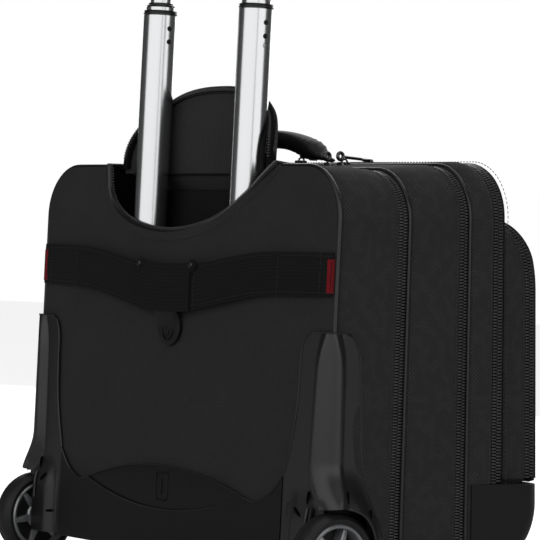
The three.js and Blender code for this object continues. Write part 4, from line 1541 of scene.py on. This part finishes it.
@dataclass
class Well(SubAssembly):
    """The handle's well: its lining, its floor and the domed flap that stands open behind the tubes."""

    floor: float = 0.306
    flap_half: float = 0.1145
    flap_bottom: float = 0.364
    flap_centre: float = 0.368
    flap_height: float = 0.0755
    flap_far_half: float = 0.102
    flap_power: float = 2.4
    flap_rear: float = -0.031
    flap_thickness: float = 0.0055

    def rear(self, x: float) -> float:
        """The flap's rear face at x: its two sides curl back."""
        past = max(0.0, (abs(x) - 0.065) / (self.flap_half - 0.065))
        return self.flap_rear + (0.02 if x > 0 else 0.03) * past**2

    def rim(self, a: float) -> Vector:
        """The flap's edge at an angle from its +X foot, over the top."""
        share = 2 / self.flap_power
        half = self.flap_half if cos(a) > 0 else self.flap_far_half
        x = half * copysign(abs(cos(a)) ** share, cos(a))
        z = self.flap_centre + self.flap_height * max(0.0, sin(a)) ** share
        return Vector((x, self.rear(x) - self.flap_thickness / 2, z))

    def build(self) -> None:
        """Builds the lining, the flap and its bound edge."""
        f, fin = self.form, self.finishes
        deep = 0.0445

        def wall(u: float, w: float) -> Triple:
            """Round three sides of the well, from its floor up."""
            turn = 2 * u - 1
            x = max(-1.0, min(1.0, turn * 1.6)) * 0.1185
            over = max(0.0, abs(turn) - 0.625) / 0.375
            sag = 0.003 * sin(pi * w) * (1 - over)
            return x, -deep + (deep - 0.003) * over + sag, self.floor - 0.002 + (0.0605 + 0.0015 * over) * w

        # The lining's near-black finish is painted shade for the shadow down in the well.
        lining = Bench.facing(Bench.sheet(wall, 80, 16, (0.33, 0.06)), (0, 0, 0.33), away=False)
        Bench.apply(lining, "SOLIDIFY", thickness=0.001, offset=-1.0)
        Bench.finish(lining, "well_lining", "root", fin.dark_lining, "back_fabric")
        bezel = Bench.box((-0.112, -0.033, self.floor), (0.112, 0.001, 0.311), 0.0015, 3)
        for side in Side:
            drill = Bench.added(
                bpy.ops.mesh.primitive_cylinder_add, vertices=64, radius=0.01735, depth=0.03,
                location=(side.value * f.tube_x, f.tube_y, self.floor),
            )
            Bench.cut(bezel, drill)
        Bench.finish(bezel, "bezel_moulding", "root", fin.plate, "moulding", ["well_bezel"])
        self.build_flap()

    def build_flap(self) -> None:
        """The flap's cloth, its binding, its half zip and the cloth hinge at its foot."""
        fin = self.finishes

        def cloth(u: float, w: float) -> Triple:
            """The flap from its foot to its domed edge."""
            half = self.flap_half if u > 0.5 else self.flap_far_half
            x = half * 0.985 * sin(pi / 2 * (2 * u - 1))
            share = max(0.0, 1 - abs(x / half) ** self.flap_power) ** (1 / self.flap_power)
            top = self.flap_centre + self.flap_height * share
            z = self.flap_bottom + (top - 0.002 - self.flap_bottom) * w
            soft = 0.0018 * sin(pi * min(1.0, w * 1.05)) * cos(pi / 2 * (2 * u - 1))
            return x, self.rear(x) - 0.0012 + soft, z

        panel = Bench.facing(Bench.sheet(cloth, 72, 44, (0.234, 0.085)), (0, -1, 0.4))
        Bench.flat_uv(panel)
        Bench.thicken(panel, self.flap_thickness - 0.0015)
        Bench.finish(panel, "flap_cloth", "well_flap", fin.flap, "back_fabric", ["well_flap"])

        def binding(u: float, w: float) -> Vector:
            """A ring of the binding at each angle of the rim."""
            a = pi * u
            p = self.rim(a)
            out = Vector((cos(a) / self.flap_half, 0, sin(a) / self.flap_height)).normalized()
            t = 2 * pi * w
            return p + out * (0.0036 * cos(t) - 0.0034) + Vector((0, 0.0036 * sin(t), 0))

        band = Bench.rolled(binding, 110, 14, (0.3, 0.02))
        Bench.finish(band, "flap_binding", "well_flap", fin.tape, "back_fabric")
        path = [
            self.rim(pi * i / 100) + Vector((0, 0.004, 0))
            - Vector((cos(pi * i / 100) * 0.006, 0, sin(pi * i / 100) * 0.006))
            for i in range(4, 97)
        ]
        stitches = self.sewing.stitches(path)
        half = Vector((0.0012, 0.0034, 0.0016)) / 2
        rim = [
            self.rim(a) + Vector((-0.0032 * cos(a), 0.0034, -0.0032 * sin(a)))
            for a in (pi * i / 140 for i in range(4, 137))
        ]
        teeth = Bench.strewn(Bench.box(-half, half, 0.0004, 1), stations(rim, [REARWARD] * len(rim), 0.0025))
        Bench.finish(teeth, "flap_teeth", "well_flap", fin.coil, "zip_coil")
        Bench.finish(stitches, "flap_stitches", "well_flap", fin.thread, "back_fabric")
        seam = Bench.cable(
            [(x, self.rear(x) + 0.0004, self.flap_bottom) for x in (0.105 * (i / 24 - 1) for i in range(49))],
            0.0009,
        )
        Bench.finish(seam, "flap_seam", "well_flap", fin.tape, "back_fabric")

        def hinge(u: float, w: float) -> Triple:
            """The cloth from under the flap down into the well."""
            x = 0.11 * (2 * u - 1)
            y = self.flap_rear - 0.0042 + (self.rear(x) - self.flap_rear + 0.0018) * (1 - smooth(3 * w))
            z = self.flap_bottom + 0.0015 - 0.022 * w
            return x, y - 0.01 * smooth(w) + 0.0012 * sin(pi * min(1.0, 2 * w)), z

        strip = Bench.walled(hinge, 60, 10, (0.232, 0.014), (0, -1, 0.36), 0.0014)
        Bench.finish(
            strip, "flap_hinge_cloth", ("root", "well_flap"), fin.flap, "back_fabric",
            hinge=((0, -0.034, 0.352), (0, -0.034, 0.363)),
        )


@dataclass
class Section(SubAssembly):
    """One zipped section of the case: a soft ring of side cloth, with a closed wall if it has one."""

    name: str
    body: str
    node: str
    back: float
    front: float
    wall: float | None = None
    back_piping: bool = True
    bulge: float = 0.0022
    thickness: float = 0.0022

    def ring(self, inset: float = 0.0) -> Piece:
        """The side cloth, which swells a little between its two seams."""
        outline = self.form.outline.inset(inset)
        columns = round(outline.girth / 0.006)

        def place(u: float, w: float) -> Triple:
            """Round the section, then from its back seam to its front seam."""
            s = outline.girth * u
            x, z, nx, nz = outline.at(s)
            y = self.back + (self.front - self.back) * w
            soft = 1.0 if nz > -0.3 else 0.25
            drag = 0.0005 * sin(s * 41 + y * 70) * sin(pi * w)
            edge = 0.0012 * (1 - smooth(min(w, 1 - w) * abs(self.front - self.back) / 0.004))
            lift = (self.bulge * sin(pi * w) ** 0.8 + drag) * soft - edge
            return x + nx * lift, y, z + nz * lift

        ring = Bench.merged(Bench.sheet(place, columns, 16, (outline.girth, abs(self.front - self.back))))
        Bench.facing(ring, (0, (self.back + self.front) / 2, 0.2))
        return Bench.thicken(ring, self.thickness)

    def panel(self, y: float, inset: float) -> Piece:
        """A soft wall that closes the ring."""
        outline = self.form.outline.inset(inset)

        def place(u: float, w: float) -> Triple:
            """Round the wall, then out from its middle."""
            x, z, _, _ = outline.at(outline.girth * u)
            middle = (outline.top + outline.bottom) / 2
            share = max(w, 0.001)
            return x * share, y + 0.004 * (1 - share**2), middle + (z - middle) * share

        wall = Bench.rolled(place, 120, 16, (0.4, 0.35))
        return Bench.flat_uv(wall)

    def build(self, cutters: Sequence[Piece] = ()) -> None:
        """Builds the ring, its wall and its piping.

        Args:
            cutters: Shapes cut out of the ring once it has slumped.
        """
        f, fin = self.form, self.finishes
        ring = Bench.reshape(self.ring(), f.slump)
        for cutter in cutters:
            Bench.cut(ring, cutter)
        Bench.finish(ring, f"{self.name}_side_cloth", self.body, fin.side, "side_fabric", [self.node])
        if self.wall is not None:
            wall = Bench.apply(self.panel(self.wall, 0.003), "SOLIDIFY", thickness=0.0018, offset=0.0)
            Bench.finish(wall, f"{self.name}_divider", self.body, fin.lining, "lining", slump=f.slump)
        if self.back_piping:
            outline = f.outline
            start, end = outline.reach(0.052), outline.girth - outline.reach(0.052)
            welt = self.sewing.piping(outline.inset(-0.0002), self.back + 0.0004, start, end, 0.0017)
            Bench.finish(welt, f"{self.name}_piping", self.body, fin.piping, "side_fabric", slump=f.slump)


@dataclass
class Zip(SubAssembly):
    """A coil zip between two bodies: two half tapes, each with its own row of teeth."""

    number: int
    rear_body: str
    front_body: str
    outline: Outline
    middle: float
    start: float
    slump: Callable[[Vector], Vector]
    whole_tape: bool = True
    front_stitched: bool = True
    pitch: float = 0.00255
    half_width: float = 0.0051
    sunk: float = 0.0012

    def half(self, toward: int) -> list[Piece]:
        """One half of the zip.

        Args:
            toward: 1 for the rear half, -1 for the front half.

        Returns:
            The tape, the teeth and the stitches.
        """
        outline, end = self.outline, self.outline.girth - self.start
        count = round((end - self.start) / 0.005)

        first, last = (0.0, outline.girth) if self.whole_tape else (self.start, end)

        def tape(u: float, w: float) -> Triple:
            """Along the tape, then away from the teeth."""
            x, z, nx, nz = outline.at(first + (last - first) * u)
            y = self.middle + toward * (0.0003 + (self.half_width + 0.002) * w)
            lift = -self.sunk - 0.0004 * sin(pi * w)
            return x + nx * lift, y, z + nz * lift

        band = Bench.walled(tape, count, 4, (last - first, 0.007), (0, self.middle, 0.2), 0.0009)
        length = self.half_width - 0.0002
        tooth = Bench.box((-0.00078, -length / 2, -0.0004), (0.00078, length / 2, 0.0013), 0.0004, 1)
        with Bench.editing(tooth, lambda c, n: n.y * toward < -0.9):
            bpy.ops.transform.resize(value=(1.25, 1.0, 0.75))
        at = self.middle + toward * (length / 2 + 0.0001)
        path, ups = outline_path(outline, at, self.start, end, -self.sunk + 0.0003)
        shift = 0.0 if toward > 0 else self.pitch / 2
        slots = [
            (p, along, REARWARD, -REARWARD.cross(along))
            for p, along, _, _ in stations(path, ups, self.pitch, shift)
        ]
        teeth = Bench.strewn(tooth, slots)
        with Bench.editing(teeth):
            bpy.ops.mesh.normals_make_consistent(inside=False)
        at = self.middle + toward * (self.half_width + 0.0042)
        path, ups = outline_path(outline, at, self.start, end, 0.0009)
        return [band, teeth, self.sewing.stitches(path, ups)]

    def build(self) -> None:
        """Builds both halves."""
        fin = self.finishes
        for toward, body, where in ((1, self.rear_body, "rear"), (-1, self.front_body, "front")):
            stands_for = [f"zip{self.number}_chain"] if toward < 0 else []
            tape, teeth, stitches = self.half(toward)
            name = f"zip{self.number}_{where}"
            Bench.finish(tape, f"{name}_tape", body, fin.tape, "zip_coil", stands_for, self.slump)
            Bench.finish(teeth, f"{name}_teeth", body, fin.coil, "zip_coil", slump=self.slump)
            if toward < 0 and not self.front_stitched:
                bpy.data.objects.remove(stitches)
                continue
            Bench.finish(stitches, f"{name}_stitches", body, fin.thread, "side_fabric", slump=self.slump)


@dataclass
class ZipPulls(SubAssembly):
    """The sliders on the top runs and their pulls."""

    def slider(self, node: str) -> Piece:
        """A slider body with its bridge, in the place of its node."""
        low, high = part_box(node)
        plane = self.form.back_plane
        y = (low.y + high.y) / 2 - plane
        x = (low.x + high.x) / 2
        if high.x - low.x > 0.012:
            x = high.x - 0.005
        z = low.z
        foot, roof = (x - 0.005, y - 0.0046, z - 0.0004), (x + 0.005, y + 0.0046, z + 0.0022)
        base = Bench.box(foot, roof, 0.001)
        with Bench.editing(base, lambda p, n: p.x < x - 0.003, "VERT"):
            bpy.ops.transform.resize(value=(1.0, 0.72, 1.0))
        arch = [
            Vector((x + 0.004 * cos(a), y, z + 0.0018 + 0.003 * sin(a)))
            for a in (pi * i / 12 for i in range(13))
        ]
        return Bench.join(base, Bench.cable(arch, 0.0009))

    def ring(self, node: str) -> Piece:
        """A ring pull that stands across its zip."""
        low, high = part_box(node)
        c = (low + high) / 2 - Vector((0, self.form.back_plane, 0))
        wire = 0.0016
        return Bench.added(
            bpy.ops.mesh.primitive_torus_add, location=c, rotation=(0, pi / 2, 0), major_segments=40,
            minor_segments=12, major_radius=(high.z - low.z) / 2 - wire, minor_radius=wire,
        )

    def flat(self, low: Vector, high: Vector) -> Piece:
        """A flat pull with an arrow tip that lies towards -X."""
        y, z = (low.y + high.y) / 2 - self.form.back_plane, (low.z + high.z) / 2
        half, length = (high.y - low.y) / 2, high.x - low.x
        shape = [(0, 0.45), (0.12, 0.62), (0.45, 0.4), (0.7, 0.42), (0.72, 1), (0.84, 0.85), (0.999, 0.05)]

        def place(u: float, w: float) -> Triple:
            """From the pull's root to its arrow tip, then across."""
            wide = half * eased(u, shape)
            lift = 0.0012 - 0.0038 * u + 0.0006 * sin(pi * w)
            return high.x - length * u, y + wide * (2 * w - 1), z + lift

        return Bench.walled(place, 48, 8, (length, 2 * half), (0, 0, -5), 0.0026)

    def build(self) -> None:
        """Builds every slider and pull."""
        metal = self.finishes.gunmetal
        for letter in "ab":
            node = f"zip1_slider_{letter}"
            Bench.finish(self.slider(node), f"first_slider_{letter}", node, metal, "zip_metal", [node])
            node = f"zip1_pull_{letter}"
            Bench.finish(self.ring(node), f"ring_pull_{letter}", node, metal, "zip_metal", [node])
        Bench.finish(
            self.slider("zip2_slider"), "second_slider", "zip2_slider", metal, "zip_metal", ["zip2_slider"]
        )
        pull = self.flat(*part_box("zip2_pull"))
        Bench.finish(pull, "arrow_pull", "zip2_pull", metal, "zip_metal", ["zip2_pull"])
        for number, name in ((3, "third"), (4, "fourth")):
            node = f"zip{number}_slider"
            low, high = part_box(node)
            tag = self.flat(
                Vector((low.x, low.y, high.z - 0.0024)), Vector((high.x - 0.004, high.y, high.z + 0.0014))
            )
            slider = Bench.join(self.slider(node), tag)
            if number == 4:
                back = self.form.pocket_bend * (0.32 - self.form.pocket_bend_from) ** 2
                Bench.reshape(slider, lambda p, b=back: p + Vector((0, b, 0)))
            Bench.finish(slider, f"{name}_slider", node, metal, "zip_metal", [node])


@dataclass
class FrontPocket(SubAssembly):
    """The face of the case, the pocket's walls, its puffed lid and the coated boot below."""

    pocket: Outline
    face: Outline
    wall_back: float = -0.19
    wall_front: float = -0.2228
    lid_back: float = -0.2352
    boot_front: float = -0.2405
    boot_top: float = 0.1035
    boot_radius: float = 0.06

    def domed(self, outline: Outline, y: float, rise: float, rim: float) -> Piece:
        """A puffed panel whose middle stands out by rise and whose rim turns back by rim."""

        def place(u: float, w: float) -> Triple:
            """Round the panel, then out from its middle."""
            x, z, _, _ = outline.at(outline.girth * u)
            middle = (outline.top + outline.bottom) / 2
            share = max(sin(pi / 2 * w), 0.001)
            puff = rise * (1 - share**5)
            turn = rim * smooth((w - 0.9) / 0.1)
            ripple = 0.0006 * sin(x * share * 55 + 0.7) * sin(z * share * 48) * (1 - share**2)
            return x * share, y - puff + turn + ripple, middle + (z - middle) * share

        panel = Bench.merged(Bench.sheet(place, 160, 30, (0.4, 0.25)))
        Bench.flat_uv(panel)
        return Bench.facing(panel, (0, 1, 0.2))

    def build(self) -> None:
        """Builds the face, the pocket's wall and lid, and the boot."""
        f, fin = self.form, self.finishes
        face = Bench.thicken(self.domed(self.face, -0.1905, 0.0012, 0.0015), 0.003)

        def wall(u: float, w: float) -> Triple:
            """Round the pocket, then forwards."""
            x, z, nx, nz = self.pocket.at(self.pocket.girth * u)
            soft = 0.0015 * sin(pi * w)
            return x + nx * soft, self.wall_back + (self.wall_front - self.wall_back) * w, z + nz * soft

        ring = Bench.merged(Bench.sheet(wall, 200, 10, (self.pocket.girth, 0.036)))
        Bench.thicken(Bench.facing(ring, (0, -0.21, 0.2)), 0.002)
        face = Bench.join(face, ring)
        Bench.finish(
            face, "face_cloth", "face_section", fin.side, "side_fabric", ["front_face"], f.pocket_slump
        )
        lid = Bench.thicken(self.domed(self.pocket, self.lid_back, 0.0046, 0.0016), 0.0022)
        Bench.finish(
            lid, "pocket_lid_cloth", "pocket_lid", fin.side, "side_fabric", ["pocket_panel"], f.pocket_slump
        )
        self.build_boot()

    def build_boot(self) -> None:
        """The coated boot with its rounded nose, its top seam and the two feet."""
        f, fin = self.form, self.finishes
        half, r, rear, low = 0.2178, self.boot_radius, -0.1535, f.bottom

        def wrap(u: float, w: float) -> Triple:
            """Round the boot from cheek to cheek, then down its nose."""
            tuck = 0.007 * (1 - min(1.0, w / 0.05))
            drop = max(0.0, (w - 0.05) / 0.95)
            if drop < 0.22:
                z, front = self.boot_top + (low + r - self.boot_top) * drop / 0.22, self.boot_front
            else:
                a = pi / 2 * (drop - 0.22) / 0.78
                z, front = low + r - r * sin(a), self.boot_front + r - r * cos(a)
            under = max(0.0, low + f.bottom_radius - z)
            side = half - f.bottom_radius + sqrt(max(0.0, f.bottom_radius**2 - under**2)) - tuck
            front += tuck
            bend = min(0.03, 0.9 * (rear - front))
            t = abs(2 * u - 1)
            sign = 1 if u > 0.5 else -1
            if t > 0.7:
                return sign * side, front + bend + (rear - front - bend) * (t - 0.7) / 0.3, z
            if t > 0.4:
                a = pi / 2 * (t - 0.4) / 0.3
                return sign * (side - bend + bend * sin(a)), front + bend - bend * cos(a), z
            return sign * (side - bend) * t / 0.4, front, z

        shell = Bench.walled(wrap, 100, 36, (0.6, 0.14), (0, -0.16, 0.08), 0.0025)
        wide = half - f.bottom_radius
        sole = Bench.box((-wide, -0.186, low - 0.0006), (wide, rear, low + 0.0016))
        shell = Bench.join(shell, sole)
        Bench.finish(shell, "boot_shell", "front_section", fin.boot, "boot_moulding", ["boot"], f.slump, 50)
        for side in Side:
            node = f"front_foot_{side.hand}"
            low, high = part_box(node)
            c = ((low.x + high.x) / 2, (low.y + high.y) / 2 - f.back_plane, 0.0)
            foot = Bench.turned(
                [(0.0, 0.0), (0.0105, 0.0), (0.0125, 0.0012), (0.014, 0.0036), (0.0148, 0.012),
                 (0.015, 0.0125), (0.0152, 0.0135), (0.016, high.z), (0.0, high.z)], c, "Z", 40)
            Bench.finish(foot, f"foot_{side.hand}", "front_section", fin.rubber, "rubber", [node])


@dataclass
class CarryHandle(SubAssembly):
    """The arched, padded carry handle on the middle section."""

    half: float = 0.086
    y: float = -0.095
    base: float = 0.3765
    rise: float = 0.0235

    def spine(self, t: float) -> Vector:
        """The handle's middle line, t from -1 to 1."""
        foot = smooth((abs(t) - 0.8) / 0.2)
        return Vector((self.half * t, self.y, self.base + self.rise * (1 - abs(t) ** 2.3) + 0.003 * foot))

    def fullness(self, t: float) -> float:
        """How fully the handle is padded: 0 at its flat ends, 1 along its grip."""
        return 1 - smooth((abs(t) - 0.66) / 0.3)

    def build(self) -> None:
        """Builds the padded grip and its two end patches."""
        fin = self.finishes

        def place(u: float, w: float) -> Vector:
            """A ring of the handle at each share of its length."""
            t = (2 * u - 1) * 0.995
            p, q = self.spine(t), self.spine(t + 0.01)
            along = (q - p).normalized()
            up = Vector((0, -1, 0)).cross(along) * -1
            up = up if up.z > 0 else -up
            full = self.fullness(t)
            wide, tall = 0.0062 + 0.0073 * full, 0.0017 + 0.0065 * full
            a = 2 * pi * w
            c, s = cos(a), sin(a)
            square = 1 / max(abs(c), abs(s)) ** 0.45
            close = sqrt(max(0.0, 1 - max(0.0, (abs(2 * u - 1) - 0.985) / 0.015) ** 2))
            fold = 0.00035 * sin(t * 75 + 9 * c) * smooth((abs(t) - 0.45) / 0.2) * (0.3 + full)
            return p + Vector((0, 1, 0)) * wide * c * square * close + up * (tall * s * square + fold) * close

        grip = Bench.rolled(place, 110, 28, (0.17, 0.05))
        Bench.finish(
            grip, "carry_handle_pad", "carry_handle", fin.padding, "padding", ["carry_handle"], angle=60
        )
        lines = []
        for side in (1, -1):
            path = []
            for i in range(61):
                t = -0.9 + 1.8 * i / 60
                full = self.fullness(t)
                aside, lift = side * (0.0052 + 0.006 * full), 0.0016 + 0.0048 * full
                path.append(self.spine(t) + Vector((0, aside, lift)))
            lines.append(self.sewing.stitches(path, [UPWARD] * len(path)))
        Bench.finish(Bench.join(*lines), "carry_handle_stitches", "carry_handle", fin.thread, "padding")
        for side in Side:
            x = side.value * (self.half + 0.004)
            low = self.form.slump(Vector((0, self.y, self.form.top))).z
            foot, roof = (x - 0.016, self.y - 0.011, low - 0.001), (x + 0.016, self.y + 0.011, low + 0.0032)
            patch = Bench.box(foot, roof, 0.0014)
            Bench.finish(patch, f"carry_handle_patch_{side.hand}", "main_section", fin.webbing, "padding")


@dataclass
class Inside(SubAssembly):
    """What shows when the sections swing open: the board, the laptop sleeve and the handle's foot bracket."""

    def build(self) -> None:
        """Dresses the nodes whose own shape is right."""
        fin = self.finishes
        nodes = {"back_board": fin.board, "laptop_sleeve": fin.lining, "tube_foot_bracket": fin.plate}
        for name, material in nodes.items():
            node = bpy.data.objects[name]
            node.data.materials.clear()
            node.data.materials.append(material)


@dataclass
class Studio:
    """The pale floor, the soft lights and the camera."""

    target: Triple = (-0.0002, 0.0093, 0.2813)
    azimuth: float = 231.79
    elevation: float = -0.45
    roll: float = 2.86
    distance: float = 2.73
    view: float = 10.292

    def direction(self, azimuth: float, elevation: float) -> Vector:
        """From the case towards a viewer."""
        a, e = radians(azimuth), radians(elevation)
        return Vector((sin(a) * cos(e), -cos(a) * cos(e), sin(e)))

    def softbox(self, azimuth: float, elevation: float, away: float, size: tuple[float, float],
                power: float) -> None:
        """One rectangular light that faces the case."""
        lamp = bpy.data.lights.new("softbox", "AREA")
        lamp.shape, lamp.size, lamp.size_y, lamp.energy = "RECTANGLE", size[0], size[1], power
        obj = bpy.data.objects.new("softbox", lamp)
        bpy.context.scene.collection.objects.link(obj)
        toward = self.direction(azimuth, elevation)
        obj.location = Vector((0, 0, 0.3)) + toward * away
        obj.rotation_mode = "QUATERNION"
        obj.rotation_quaternion = toward.to_track_quat("Z", "Y")
        obj.visible_camera = False

    def build(self) -> None:
        """Sets the world, the floor, the lights and the camera."""
        scene = bpy.context.scene
        scene.view_settings.view_transform = "Standard"
        world = bpy.data.worlds.new("studio")
        scene.world = world
        world.use_nodes = True
        tree = world.node_tree
        light = tree.nodes["Background"]
        light.inputs[0].default_value = WHITE
        light.inputs[1].default_value = 0.05
        white = tree.nodes.new("ShaderNodeBackground")
        white.inputs[0].default_value = WHITE
        white.inputs[1].default_value = 1.0
        path, mix = tree.nodes.new("ShaderNodeLightPath"), tree.nodes.new("ShaderNodeMixShader")
        tree.links.new(path.outputs["Is Camera Ray"], mix.inputs[0])
        tree.links.new(light.outputs[0], mix.inputs[1])
        tree.links.new(white.outputs[0], mix.inputs[2])
        tree.links.new(mix.outputs[0], tree.nodes["World Output"].inputs[0])
        floor = Bench.added(bpy.ops.mesh.primitive_plane_add, size=60)
        floor.name = "floor"
        s = Shader("pale floor")
        seen = Signal(s, s.node("ShaderNodeLightPath", {}, {}).outputs["Is Camera Ray"])
        s.set(Base_Color=(0.62, 0.62, 0.62, 1), Roughness=0.9, Specular_IOR_Level=0.1,
              Emission_Color=s.mixed(seen, (0, 0, 0), (1, 1, 1)), Emission_Strength=0.86)
        floor.data.materials.append(s.material)
        self.softbox(self.azimuth - 33, 10, 3.6, (7.8, 3.6), 92)
        self.softbox(self.azimuth + 44, 10, 3.7, (3.55, 3.6), 43)
        self.softbox(self.azimuth + 165, 22, 4.0, (4.6, 3.4), 90)
        self.softbox(self.azimuth + 20, 78, 3.0, (2.6, 2.6), 22)
        camera = bpy.data.cameras.new("camera")
        camera.lens_unit = "FOV"
        camera.angle = radians(self.view)
        obj = bpy.data.objects.new("camera", camera)
        scene.collection.objects.link(obj)
        back = self.direction(self.azimuth, self.elevation)
        obj.location = Vector(self.target) + back * self.distance
        turn = back.to_track_quat("Z", "Y").to_matrix().to_4x4()
        obj.rotation_mode = "QUATERNION"
        obj.rotation_quaternion = (turn @ Matrix.Rotation(radians(self.roll), 4, "Z")).to_quaternion()
        scene.camera = obj


def main() -> None:
    """Builds the studio, then every sub-assembly of the case."""
    logging.basicConfig(level=logging.INFO, format="%(name)s: %(message)s")
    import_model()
    form = CaseForm.from_frame()
    Bench.form = form
    Studio().build()
    kit = (form, Finishes(), Sewing())
    BackPanel(*kit).build()
    BackStrap(*kit).build()
    KickPlate(*kit).build()
    guard, wheel = WheelGuard(*kit), Wheel(*kit)
    for side in Side:
        guard.build(side)
        wheel.build(side)
    Handle(*kit).build()
    Well(*kit).build()
    far, hole, depth = form.half + 0.03, KickPlate.half, 0.03
    cutters = [
        Bench.box((-form.well_half, form.well_front, 0.34), (form.well_half, depth, 0.4)),
        Bench.box((hole, -0.047, 0.0), (far, depth, 0.079)),
        Bench.box((-far, -0.047, 0.0), (-hole, depth, 0.079)),
    ]
    Section(*kit, "rear", "root", "rear_gusset", -0.0045, -0.0692, back_piping=False).build(cutters)
    Section(*kit, "middle", "main_section", "middle_gusset", -0.0803, -0.1388, -0.1365).build()
    Section(*kit, "front", "front_section", "front_gusset", -0.1492, -0.1778, -0.1615).build()
    top, foot = form.outline, 0.036
    pocket = Outline(0.206, 0.104, 0.32, 0.035, 0.003)
    face = replace(top, half=form.half - 0.001, bottom=0.104, bottom_radius=0.006)
    slump, bent = form.slump, form.pocket_slump
    seams = [
        (1, "root", "main_section", top, -0.074, top.reach(foot), slump),
        (2, "main_section", "front_section", top, -0.1438, top.reach(foot), slump),
        (3, "front_section", "face_section", top, -0.1832, top.reach(0.104), slump, False),
        (4, "face_section", "pocket_lid", pocket, -0.2288, pocket.reach(0.1075), bent, False, False),
    ]
    for seam in seams:
        Zip(*kit, *seam).build()
    ZipPulls(*kit).build()
    FrontPocket(*kit, pocket, face).build()
    CarryHandle(*kit).build()
    Inside(*kit).build()


if __name__ == "__main__":
    main()
